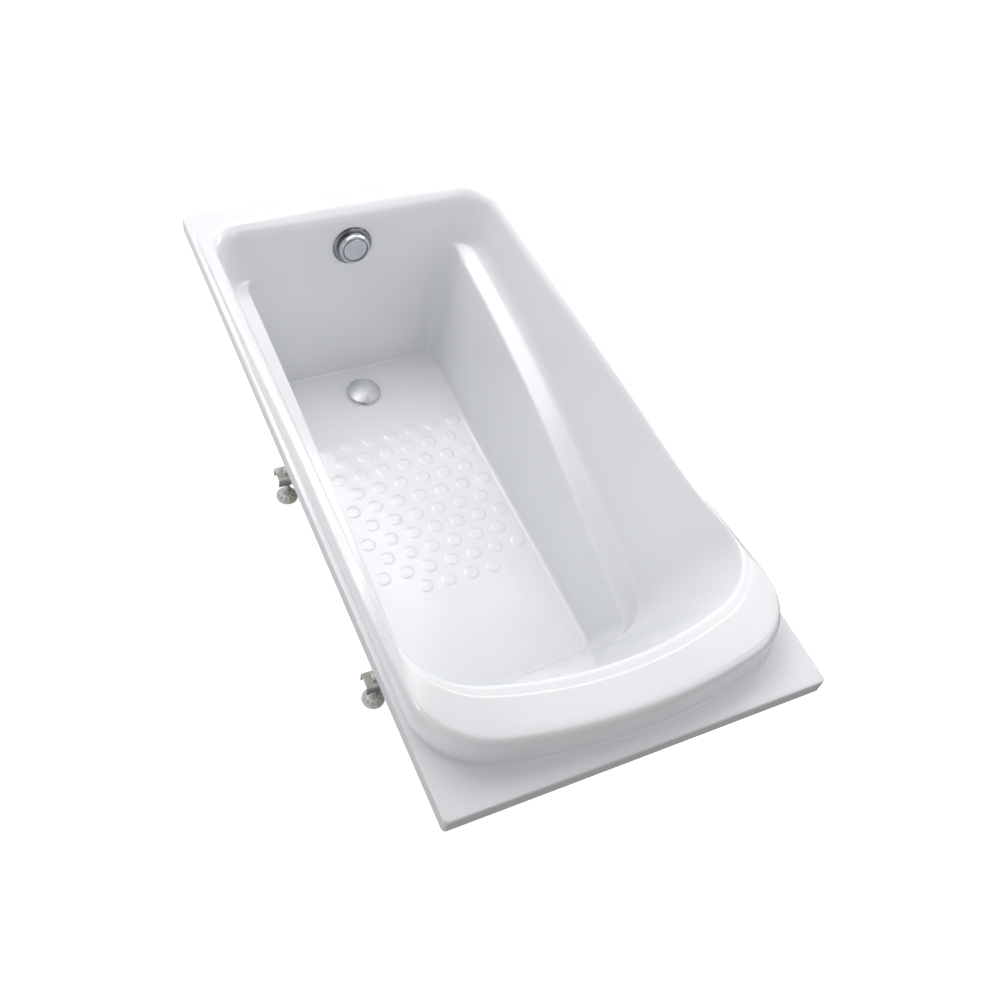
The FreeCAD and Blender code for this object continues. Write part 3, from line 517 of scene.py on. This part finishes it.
def floorPatch(border, borderStart, withBumps):
    # flat floor between the wall's last ring and the waste hole, with the bumps' rings as edges
    flat = [Vector(point[:2]) for point in border]
    heights = [border[0][2]] * len(flat)
    edges = []
    loops = [(circle(tub["wasteX"], 0, tub["wasteHole"], holeForm["sides"]), 0.0)]
    if withBumps:
        for x, y in bumpPlaces():
            loops += [(circle(x, y, bumpForm["radius"] * share, bumpForm["points"]), rise)
                      for share, rise in bumpForm["rings"]]
    for loop, rise in loops:
        start = len(flat)
        flat += [Vector(point) for point in loop]
        heights += [border[0][2] + rise] * len(loop)
        edges += [(start + i, start + (i + 1) % len(loop)) for i in range(len(loop))]
    outer = list(range(len(border)))[::-1]
    places, _, faces, origins, _, _ = delaunay_2d_cdt(flat, edges, [outer], 1, 1e-4)
    points = []
    index = {}
    for i, (place, origin) in enumerate(zip(places, origins)):
        known = origin[0] if origin else None
        if known is not None and known < len(border):
            index[i] = borderStart + known
        else:
            index[i] = borderStart + len(border) + len(points)
            points.append((place.x, place.y, heights[known] if known is not None else border[0][2]))
    kept = []
    for face in faces:
        middle = sum((places[i] for i in face), Vector((0, 0))) / len(face)
        if (middle - Vector((tub["wasteX"], 0))).length > tub["wasteHole"] * holeForm["insideShare"]:
            kept.append([index[i] for i in face])
    return points, kept


def shellGrid():
    lines = []
    for part, share, sign in makeStations():
        corners = sectionPoints(part, share)
        line = roundedRun(corners, sectionRadii(corners, part, share))
        lines.append([(point.x, point.y * sign, point.z) for point in line])
    return lines


def gridMesh(lines, first, last, withBumps):
    # rings run round the tub, from the outside in
    count = len(lines)
    rings = [[line[level] for line in lines] for level in range(first, last)]
    points = [point for ring in rings for point in ring]
    faces = []
    for level in range(len(rings) - 1):
        for i in range(count):
            j = (i + 1) % count
            a, b = level * count, (level + 1) * count
            faces.append((a + i, b + i, b + j, a + j))
    borderStart = (len(rings) - 1) * count
    extra, patch = floorPatch(rings[-1], borderStart, withBumps)
    return points + extra, faces + patch


def cutOverflow(piece):
    bpy.ops.mesh.primitive_cylinder_add(
        vertices=holeForm["sides"], radius=tub["overflowHole"] * mm, depth=holeForm["depth"] * mm)
    cutter = bpy.context.object
    cutter.location = (overflowX * mm, 0, tub["overflowHeight"] * mm)
    cutter.rotation_euler = (0, math.pi / 2 + drainLean, 0)
    cut = piece.modifiers.new("overflowHole", "BOOLEAN")
    cut.object, cut.operation, cut.solver = cutter, "DIFFERENCE", "EXACT"
    bakeModifiers(piece)
    bpy.data.objects.remove(cutter)


def makeShell(lines):
    points, faces = gridMesh(lines, 0, len(lines[0]), True)
    shell = addPiece("tubShell", points, faces, "tub", "acrylicGloss", "tub_shell")
    skin = shell.modifiers.new("skin", "SOLIDIFY")
    skin.thickness, skin.offset = tub["wall"] * mm, -1
    skin.use_quality_normals = True
    bakeModifiers(shell)
    cutOverflow(shell)
    shell.data.set_sharp_from_angle(angle=math.radians(sharpAngles["shell"]))
    return shell


shellLines = shellGrid()
tubShell = makeShell(shellLines)
print("shell made,", len(tubShell.data.polygons), "faces")


def makeBacking(lines):
    # fibre layer behind the well's walls and floor
    first = next(level for level, point in enumerate(lines[0])
                 if level > backingForm["fromLevel"] and point[2] < backingForm["top"])
    points, faces = gridMesh(lines, first, len(lines[0]), False)
    backing = addPiece("fibreBacking", points, faces, "tub", "fibreResin", "shell_backing")
    gap = (tub["wall"] + tub["bondGap"]) * mm
    normals = [vertex.normal.copy() for vertex in backing.data.vertices]
    for vertex, normal in zip(backing.data.vertices, normals):
        vertex.co -= normal * gap
    skin = backing.modifiers.new("skin", "SOLIDIFY")
    skin.thickness, skin.offset = tub["backing"] * mm, -1
    bakeModifiers(backing)
    cutOverflow(backing)
    backing.data.set_sharp_from_angle(angle=math.radians(sharpAngles["shell"]))


makeBacking(shellLines)
print("fibre backing made")

# Fittings turned from profiles of (radius, height, rounding); shaped ones change the radius with the turn
def softProfile(corners, closed=True, steps=4, room=0.48):
    line = []
    for i, (radius, height, rounding) in enumerate(corners):
        corner = Vector((radius, height))
        if not rounding or not closed and i in (0, len(corners) - 1):
            line.append(corner)
            continue
        back, ahead = (Vector(corners[(i + way) % len(corners)][:2]) - corner for way in (-1, 1))
        reach = rounding * math.tan((math.pi - back.angle(ahead)) / 2)
        reach = min(reach, back.length * room, ahead.length * room)
        line += arcPoints(corner, back.normalized(), ahead.normalized(), reach, steps)
    return line


def turnedForm(line, closed=True, around=64, shape=None):
    points, faces, rings = [], [], []
    for radius, height in line:
        start = len(points)
        if radius < 1e-6:
            points.append((0, 0, height))
        else:
            for i in range(around):
                turn = math.tau * i / around
                reach = shape(radius, height, turn) if shape else radius
                points.append((reach * math.cos(turn), reach * math.sin(turn), height))
        rings.append(range(start, len(points)))
    for low, high in zip(rings, rings[1:] + (rings[:1] if closed else [])):
        for i in range(around):
            j = (i + 1) % around
            face = [low[i % len(low)], low[j % len(low)], high[j % len(high)], high[i % len(high)]]
            faces.append(list(dict.fromkeys(face)))
    return points, [face for face in faces if len(face) > 2]


def hexReach(flats, turn):
    return flats / 2 / math.cos(turn % (math.pi / 3) - math.pi / 6)


def joined(forms):
    # several forms as one: each is points, faces, origin and turn
    points, faces = [], []
    for formPoints, formFaces, origin, turn in forms:
        start = len(points)
        points += [turn @ Vector(point) + Vector(origin) for point in formPoints]
        faces += [[start + i for i in face] for face in formFaces]
    return points, faces


def block(low, high):
    (x, y, z), (far, wide, top) = low, high
    points = [(x, y, z), (far, y, z), (far, wide, z), (x, wide, z), (x, y, top), (far, y, top), (far, wide, top),
              (x, wide, top)]
    return points, [(3, 2, 1, 0), (4, 5, 6, 7), (0, 1, 5, 4), (1, 2, 6, 5), (2, 3, 7, 6), (3, 0, 4, 7)]


def plate(outline, thickness):
    # an outline of (distance from the axis, height), set upright across the axis
    half, count = thickness / 2, len(outline)
    points = [(x, -half, z) for x, z in outline] + [(x, half, z) for x, z in outline]
    faces = [list(range(count)), list(range(2 * count - 1, count - 1, -1))]
    return points, faces + [((i + 1) % count, i, count + i, count + (i + 1) % count) for i in range(count)]


def addFitting(name, forms, body, finish, replaced):
    points, faces = joined(forms)
    piece = addPiece(name, points, faces, body, finish, replaced)
    work = bmesh.new()
    work.from_mesh(piece.data)
    bmesh.ops.recalc_face_normals(work, faces=work.faces)
    work.to_mesh(piece.data)
    work.free()
    piece.data.set_sharp_from_angle(angle=math.radians(sharpAngles["fitting"]))
    return piece


upright = Quaternion()
alongY = Quaternion((1, 0, 0), -math.pi / 2)
awayX = Quaternion((0, 1, 0), -math.pi / 2)
nutShape = {"over": 0.2, "faceShare": 0.96, "bevel": 30, "steps": 5, "around": 72}


def nutForm(flats, bore, low, high):
    # six flats with the corners turned off at both ends
    corner = flats / 2 / math.cos(math.pi / 6) + nutShape["over"]
    face = flats / 2 * nutShape["faceShare"]
    bevel, steps = (corner - face) * math.tan(math.radians(nutShape["bevel"])), nutShape["steps"]
    line = [(bore, low)]
    line += [(face + (corner - face) * step / steps, low + bevel * step / steps) for step in range(steps + 1)]
    line += [(face + (corner - face) * step / steps, high - bevel * step / steps) for step in range(steps, -1, -1)]
    line += [(bore, high)]

    def shape(radius, height, turn):
        return radius if radius == bore else min(radius, hexReach(flats, turn))

    return turnedForm(line, around=nutShape["around"], shape=shape)


gripShape = {
    "bandShare": 0.74, "neckShare": 0.8, "grooveShare": 0.77, "neckStep": 1.6, "grooveFrom": 2.2, "around": 8,
}


def grippedForm(outer, bore, length, grips, depth):
    # a round nut with finger grooves along it
    neck = outer - gripShape["neckStep"]
    line = softProfile([(bore, 0, 0.4), (outer, 0, 1.0), (outer, length * gripShape["bandShare"], 0.6),
                        (neck, length * gripShape["neckShare"], 0.6), (neck, length, 0.8), (bore, length, 0.4)])

    def shape(radius, height, turn):
        if radius < outer - gripShape["grooveFrom"] or height > length * gripShape["grooveShare"]:
            return radius
        return radius - depth * max(0, math.cos(grips * turn)) ** 2

    return turnedForm(line, around=grips * gripShape["around"], shape=shape)


threadShape = {"pitch": 1.75, "depthShare": 0.6, "bevel": 1.2, "root": 0.2, "rise": 0.65, "around": 18, "rows": 6}


def threadForm(radius, low, high):
    # a right-hand thread between two bevelled ends
    pitch = threadShape["pitch"]
    depth = pitch * threadShape["depthShare"]
    count = round((high - low) / pitch * threadShape["rows"])
    line = [(0, low)] + [(radius, low + (high - low) * row / count) for row in range(count + 1)] + [(0, high)]

    def shape(outer, height, turn):
        wave = abs(2 * ((height / pitch - turn / math.tau) % 1) - 1)
        reach = outer - depth * (1 - min(max((wave - threadShape["root"]) / threadShape["rise"], 0), 1))
        return min(reach, radius - threadShape["bevel"] + min(height - low, high - height))

    return turnedForm(line, closed=False, around=threadShape["around"], shape=shape)


knobForms = {
    "rosette": ((22.5, -20, 0.4), (25.5, -20, 0.5), (25.5, 0, 0), (48.5, 0, 0.2), (48.5, 1.4, 0.9), (45.2, 5, 1.8),
                (22.5, 5, 0.5)),
    "hub": ((5.05, -30.8, 0.3), (9, -30.8, 0.6), (9, 6.8, 0.6), (5.05, 6.8, 0.3)),
    "knob": ((0, 17.5, 0), (5.05, 17.5, 0), (5.05, 7, 0.3), (9, 7, 0.4), (9, 14.5, 0.6), (34.5, 14.5, 0.8),
             (34.5, 7, 0.4), (38, 7, 0.7), (37.1, 17, 2.2), (34.4, 22, 1.2), (31.2, 22, 0.6), (30.9, 20, 0.15),
             (0, 20, 0)),
    "cap": ((0, 20, 0), (27.6, 20, 0.15), (27.6, 21.4, 0.7), (26.4, 22.1, 0.8), (15, 22.4, 30), (0, 22.5, 0)),
}
knobDetail = {
    "arm": ((8.5, -2, 0), (24, 2, 5)), "arms": 4, "grooveRadius": 31.4, "grooveHeight": (19, 21.9), "steps": 5,
    "around": 96,
}


def makeOverflow():
    def turned(name, closed):
        form = turnedForm(softProfile(knobForms[name], closed, knobDetail["steps"]), closed, knobDetail["around"])
        return (*form, overflowPlace, overflowTurn)

    arm = block(*knobDetail["arm"])
    arms = [(*arm, overflowPlace, overflowTurn @ Quaternion((0, 0, 1), math.pi / 4 + math.pi / 2 * step))
            for step in range(knobDetail["arms"])]
    # the rosette takes the dark chrome: painted shade in the gap behind the knob
    addFitting("overflowRosette", [turned("rosette", True), turned("hub", True)] + arms, "tub", "paintedShadeChrome",
               "overflow_faceplate")
    knob = addFitting("overflowKnob", [turned("knob", False)], "knob", "satinChrome", "overflow_knob")
    # the faces in the groove round the cap take the dark chrome: painted shade in the groove
    knob.data.materials.append(materials["paintedShadeChrome"])
    low, high = knobDetail["grooveHeight"]
    for face in knob.data.polygons:
        place = overflowTurn.inverted() @ (face.center / mm - overflowPlace)
        if place.xy.length < knobDetail["grooveRadius"] and low < place.z < high:
            face.material_index = 1
    addFitting("knobCap", [turned("cap", False)], "knob", "satinChrome", "knob_cap")


plugForm = {
    "radius": 41.5, "low": 121.2, "edge": 123.2, "top": 131.2, "recess": 1.0, "recessRadii": (34, 35),
    "recessSoft": (0.6, 0.4), "edgeSoft": (0.5, 1.4), "rings": 14, "around": 96,
}


def makePlug():
    reach, low, edge, top = (plugForm[key] for key in ("radius", "low", "edge", "top"))
    (inner, outer), (innerSoft, outerSoft) = plugForm["recessRadii"], plugForm["recessSoft"]
    lowSoft, edgeSoft = plugForm["edgeSoft"]
    recessed = low + plugForm["recess"]
    crown = (reach ** 2 + (top - edge) ** 2) / (2 * (top - edge))
    radii = [reach * (1 - step / plugForm["rings"]) for step in range(1, plugForm["rings"])]
    dome = [(radius, top - crown + math.sqrt(crown ** 2 - radius ** 2), 0) for radius in radii]
    corners = [(0, recessed, 0), (inner, recessed, innerSoft), (outer, low, outerSoft), (reach, low, lowSoft),
               (reach, edge, edgeSoft)] + dome + [(0, top, 0)]
    form = turnedForm(softProfile(corners, False), False, plugForm["around"])
    addFitting("plugCap", [(*form, (tub["wasteX"], 0, 0), upright)], "plug", "brushedChrome", "plug_cap")


footForm = {
    "places": ((-350, -258), (-350, 258), (240, -258), (240, 258)), "stud": 6.0, "studLow": 8.0, "studTop": 150.0,
    "collar": (24.0, 33.0), "weldNut": (84.2, 93.2), "lockNut": (95.7, 104.7), "flats": 19.0, "bore": 6.05,
    "pad": ((0, 0.9, 0), (19, 0.9, 0.5), (20, 0, 0.4), (26, 0, 1.0), (26, 5.6, 1.6), (15.2, 7.4, 3), (13, 18, 1.2),
            (6.05, 18, 0.4), (6.05, 8, 0.3), (0, 8, 0)),
    "rib": ((12, 5), (24, 5.5), (24, 6.4), (14.6, 15.2), (12, 16.4)), "ribs": 10, "ribWidth": 2.2,
    "collarBore": 4.5, "around": 72,
}


def makeFeet():
    foot = footForm
    pad = turnedForm(softProfile(foot["pad"], False), False, foot["around"])
    rib = plate(foot["rib"], foot["ribWidth"])
    thread = threadForm(foot["stud"], foot["studLow"], foot["studTop"])
    collar = nutForm(foot["flats"], foot["collarBore"], *foot["collar"])
    for number, (x, y) in enumerate(foot["places"], 1):
        ribs = [(*rib, (x, y, 0), Quaternion((0, 0, 1), math.tau * step / foot["ribs"]))
                for step in range(foot["ribs"])]
        addFitting(f"footPad{number}", [(*pad, (x, y, 0), upright)] + ribs, f"foot_{number}", "mouldedGrey",
                   f"foot_pad_{number}")
        addFitting(f"footStud{number}", [(*thread, (x, y, 0), upright), (*collar, (x, y, 0), upright)],
                   f"foot_{number}_screw", "zincPlate", f"foot_stud_{number}")
    for name, node, key in (("weldNuts", "foot_weld_nuts", "weldNut"), ("lockNuts", "foot_lock_nuts", "lockNut")):
        nut = nutForm(foot["flats"], foot["bore"], *foot[key])
        addFitting(name, [(*nut, (x, y, 0), upright) for x, y in foot["places"]], "tub", "zincPlate",
                   node)


screwForm = {
    "places": [(x, y) for x in (-350, 240) for y in (-110, -60, 60, 110)], "flats": 3.6,
    "profile": ((0, 91.9, 0), (2.2, 91.9, 0), (2.4, 90.2, 0.2), (4.3, 90.2, 1.0), (5, 91.6, 0.8), (5, 93.2, 0.1),
                (2.5, 93.2, 0), (2.5, 102.6, 0.3), (0.7, 104.7, 0.3), (0, 104.7, 0)),
    "socketRadius": 2.45, "socketTop": 92, "steps": 3, "around": 36,
}


def makeScrews():
    def shape(radius, height, turn):
        inSocket = radius < screwForm["socketRadius"] and height < screwForm["socketTop"]
        return min(radius, hexReach(screwForm["flats"], turn)) if inSocket else radius

    line = softProfile(screwForm["profile"], False, screwForm["steps"])
    screw = turnedForm(line, False, screwForm["around"], shape)
    addFitting("barScrews", [(*screw, (x, y, 0), upright) for x, y in screwForm["places"]], "tub", "zincPlate",
               "leg_bar_screws")


pipeForm = {
    "line": -35.5, "portHeight": 78.0, "upperFrom": 50.0, "nut": (19.0, 15.1, 20.0), "lowerX": -568.5,
    "lowerNut": (19.0, 15.1, 13.5), "outletNut": (26.5, 22.1, 24.0), "outletFrom": 50.0, "cableNut": (5.5, 2.3, 14.0),
    "cableFrom": 41.0, "cableSide": 25.0, "lowCableNut": (8.0, 2.3, 12.0), "lowCableTop": 46.0,
    # grips round each nut and their depth
    "pipeGrips": (12, 1.1), "outletGrips": (14, 1.5), "cableGrips": (10, 0.5), "lowCableGrips": (10, 0.7),
}


def makePipeNuts():
    spec = pipeForm
    downTurn = overflowTurn @ Quaternion((0, 1, 0), math.pi / 2)
    waste = Vector((tub["wasteX"], 0, spec["portHeight"]))

    def behind(down, across):
        return overflowPlace + overflowTurn @ Vector((down, across, spec["line"]))

    nuts = (
        ("upperPipeNut", "overflow_pipe_nut_upper", "nut", "pipeGrips", behind(spec["upperFrom"], 0), downTurn),
        ("lowerPipeNut", "overflow_pipe_nut_lower", "lowerNut", "pipeGrips",
         Vector((spec["lowerX"], 0, spec["portHeight"])), awayX),
        ("outletNut", "waste_outlet_nut", "outletNut", "outletGrips",
         waste + Vector((0, spec["outletFrom"], 0)), alongY),
    )
    for name, node, size, grips, origin, turn in nuts:
        form = grippedForm(*spec[size], *spec[grips])
        addFitting(name, [(*form, origin, turn)], "tub", "mouldedWhite", node)
    upper = grippedForm(*spec["cableNut"], *spec["cableGrips"])
    addFitting("upperCableNut", [(*upper, behind(spec["cableFrom"], spec["cableSide"]), downTurn)], "tub",
               "nylonCream", "cable_nut_upper")
    lower = grippedForm(*spec["lowCableNut"], *spec["lowCableGrips"])
    origin = (tub["wasteX"], 0, spec["lowCableTop"] - spec["lowCableNut"][2])
    addFitting("lowerCableNut", [(*lower, origin, upright)], "tub", "nylonCream", "cable_nut_lower")


makeOverflow()
makePlug()
makeFeet()
makeScrews()
makePipeNuts()
print("fittings made")

# Solids whose shape is right: the ones listed here get rounded edges, in millimetres
softEdges = {
    "rim_batten_right": 1.2, "rim_batten_left": 1.2, "rim_batten_head": 1.2, "rim_batten_drain": 1.2,
    "base_board": 0.8, "leg_bar_drain": 1.1, "leg_bar_head": 1.1, "waste_body": 0.8, "overflow_body": 0.8,
    "overflow_back_cover": 1.0, "waste_flange": 0.5, "waste_outlet_pipe": 0.6,
}
nodeFinishes = {
    "sawnTimber": ("rim_batten_right", "rim_batten_left"),
    "sawnTimberAcross": ("rim_batten_head", "rim_batten_drain"),
    "pressedBoard": ("base_board",),
    "galvanised": ("leg_bar_drain", "leg_bar_head"),
    "zincPlate": ("spindle_clip", "cable_core"),
    "blackRubber": ("waste_gasket_top", "waste_gasket_bottom", "plug_seal", "overflow_gasket"),
    "polishedChrome": ("waste_flange",),
    "mouldedWhite": ("waste_body", "waste_outlet_pipe", "overflow_body", "overflow_back_cover", "overflow_pipe"),
    "machinedBrass": ("plug_stem", "lifter_pin", "knob_spindle"),
    "nylonCream": ("cable_drum",),
    "cableJacket": ("cable_casing",),
}

softenForm = {"merge": 1e-6, "flat": 0.5, "segments": 2}


def softenNode(name, width, finish):
    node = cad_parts[name]
    mesh = node.data.copy()
    work = bmesh.new()
    work.from_mesh(mesh)
    bmesh.ops.remove_doubles(work, verts=work.verts, dist=softenForm["merge"])
    flat = math.radians(softenForm["flat"])
    bmesh.ops.dissolve_limit(work, angle_limit=flat, verts=work.verts, edges=work.edges)
    work.to_mesh(mesh)
    work.free()
    mesh.materials.clear()
    mesh.materials.append(materials[finish])
    words = name.split("_")
    piece = bpy.data.objects.new(words[0] + "".join(word.title() for word in words[1:]), mesh)
    bpy.context.scene.collection.objects.link(piece)
    piece.matrix_world = node.matrix_world
    edges = piece.modifiers.new("edges", "BEVEL")
    edges.width, edges.segments = width * mm, softenForm["segments"]
    edges.limit_method, edges.angle_limit = "ANGLE", math.radians(sharpAngles["bevel"])
    bakeModifiers(piece)
    piece.data.shade_smooth()
    piece.data.set_sharp_from_angle(angle=math.radians(sharpAngles["solid"]))
    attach(piece, "tub")
    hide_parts(name)


def finishNodes():
    for finish, names in nodeFinishes.items():
        for name in names:
            if name in softEdges:
                softenNode(name, softEdges[name], finish)
                continue
            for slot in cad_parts[name].material_slots:
                slot.material = materials[finish]


finishNodes()
print("solids finished")

# Studio: soft lamps, the strongest over the drain end, and a sky that glows softly on three sides
studio = {
    "floorSize": 60.0,
    "backdropRadius": 28.0,
    "backdropSides": (48, 24),
    "aim": (0.0, 0.0, 0.5),
    "distance": 2.8,
    "skyBase": 0.036,
    # soft glows of the sky: direction and strength
    "sky": (((1, 0, 0), 0.472), ((-1, 0, 0), 1.103), ((0, -1, 0), 0.762)),
    # round lamps: turn from the head end towards +Y, height in degrees, size, power
    "lamps": ((180, 58, 1.8, 20.8), (225, 58, 1.8, 13.0), (35, 58, 1.8, 9.5), (112, 58, 1.6, 5.6),
              (45, 30, 1.4, 7.9), (90, 30, 1.2, 3.0), (115, 20, 0.7, 12.7), (115, 38, 0.9, 8.0),
              (145, 47, 1.1, 4.9), (180, 47, 1.1, 7.1), (270, -5, 0.7, 11)),
}


def addStage(name, mesh):
    # seen by the camera only, so that it neither lights the tub nor mirrors in it
    mesh.materials.append(materials[name])
    piece = bpy.data.objects.new(name, mesh)
    bpy.context.scene.collection.objects.link(piece)
    piece.visible_diffuse = False
    piece.visible_glossy = False
    return piece


def makeStudio():
    size = studio["floorSize"] / 2
    mesh = bpy.data.meshes.new("studioFloor")
    mesh.from_pydata([(-size, -size, 0), (size, -size, 0), (size, size, 0), (-size, size, 0)], [], [(0, 1, 2, 3)])
    addStage("studioFloor", mesh)
    dome = bmesh.new()
    around, upward = studio["backdropSides"]
    bmesh.ops.create_uvsphere(dome, u_segments=around, v_segments=upward, radius=studio["backdropRadius"])
    mesh = bpy.data.meshes.new("studioBackdrop")
    dome.to_mesh(mesh)
    dome.free()
    addStage("studioBackdrop", mesh).visible_shadow = False
    for turn, height, size, power in studio["lamps"]:
        lamp = bpy.data.lights.new("studioLamp", "AREA")
        lamp.shape, lamp.size, lamp.energy = "DISK", size, power
        light = bpy.data.objects.new("studioLamp", lamp)
        bpy.context.scene.collection.objects.link(light)
        across, up = math.cos(math.radians(height)), math.sin(math.radians(height))
        way = Vector((math.cos(math.radians(turn)) * across, math.sin(math.radians(turn)) * across, up))
        light.location = Vector(studio["aim"]) + way * studio["distance"]
        light.rotation_mode = "QUATERNION"
        light.rotation_quaternion = (-way).to_track_quat("-Z", "Y")
        light.visible_camera = False
    makeSky()
    bpy.context.scene.view_settings.view_transform = "Standard"


def makeSky():
    world = bpy.data.worlds.new("studio")
    world.use_nodes = True
    nodes, links = world.node_tree.nodes, world.node_tree.links
    place = nodes.new("ShaderNodeTexCoord")
    total = None
    for direction, strength in studio["sky"]:
        along = nodes.new("ShaderNodeVectorMath")
        along.operation = "DOT_PRODUCT"
        along.inputs[1].default_value = direction
        links.new(place.outputs["Generated"], along.inputs[0])
        ahead = nodes.new("ShaderNodeMath")
        ahead.operation = "MAXIMUM"
        ahead.inputs[1].default_value = 0
        links.new(along.outputs["Value"], ahead.inputs[0])
        glow = nodes.new("ShaderNodeMath")
        glow.operation = "MULTIPLY"
        links.new(ahead.outputs["Value"], glow.inputs[0])
        links.new(ahead.outputs["Value"], glow.inputs[1])
        part = nodes.new("ShaderNodeMath")
        part.operation = "MULTIPLY_ADD"
        part.inputs[1].default_value = strength
        part.inputs[2].default_value = studio["skyBase"]
        links.new(glow.outputs["Value"], part.inputs[0])
        if total:
            links.new(total, part.inputs[2])
        total = part.outputs["Value"]
    sky = nodes["Background"]
    links.new(total, sky.inputs["Color"])
    bpy.context.scene.world = world


makeStudio()
print("studio lit")
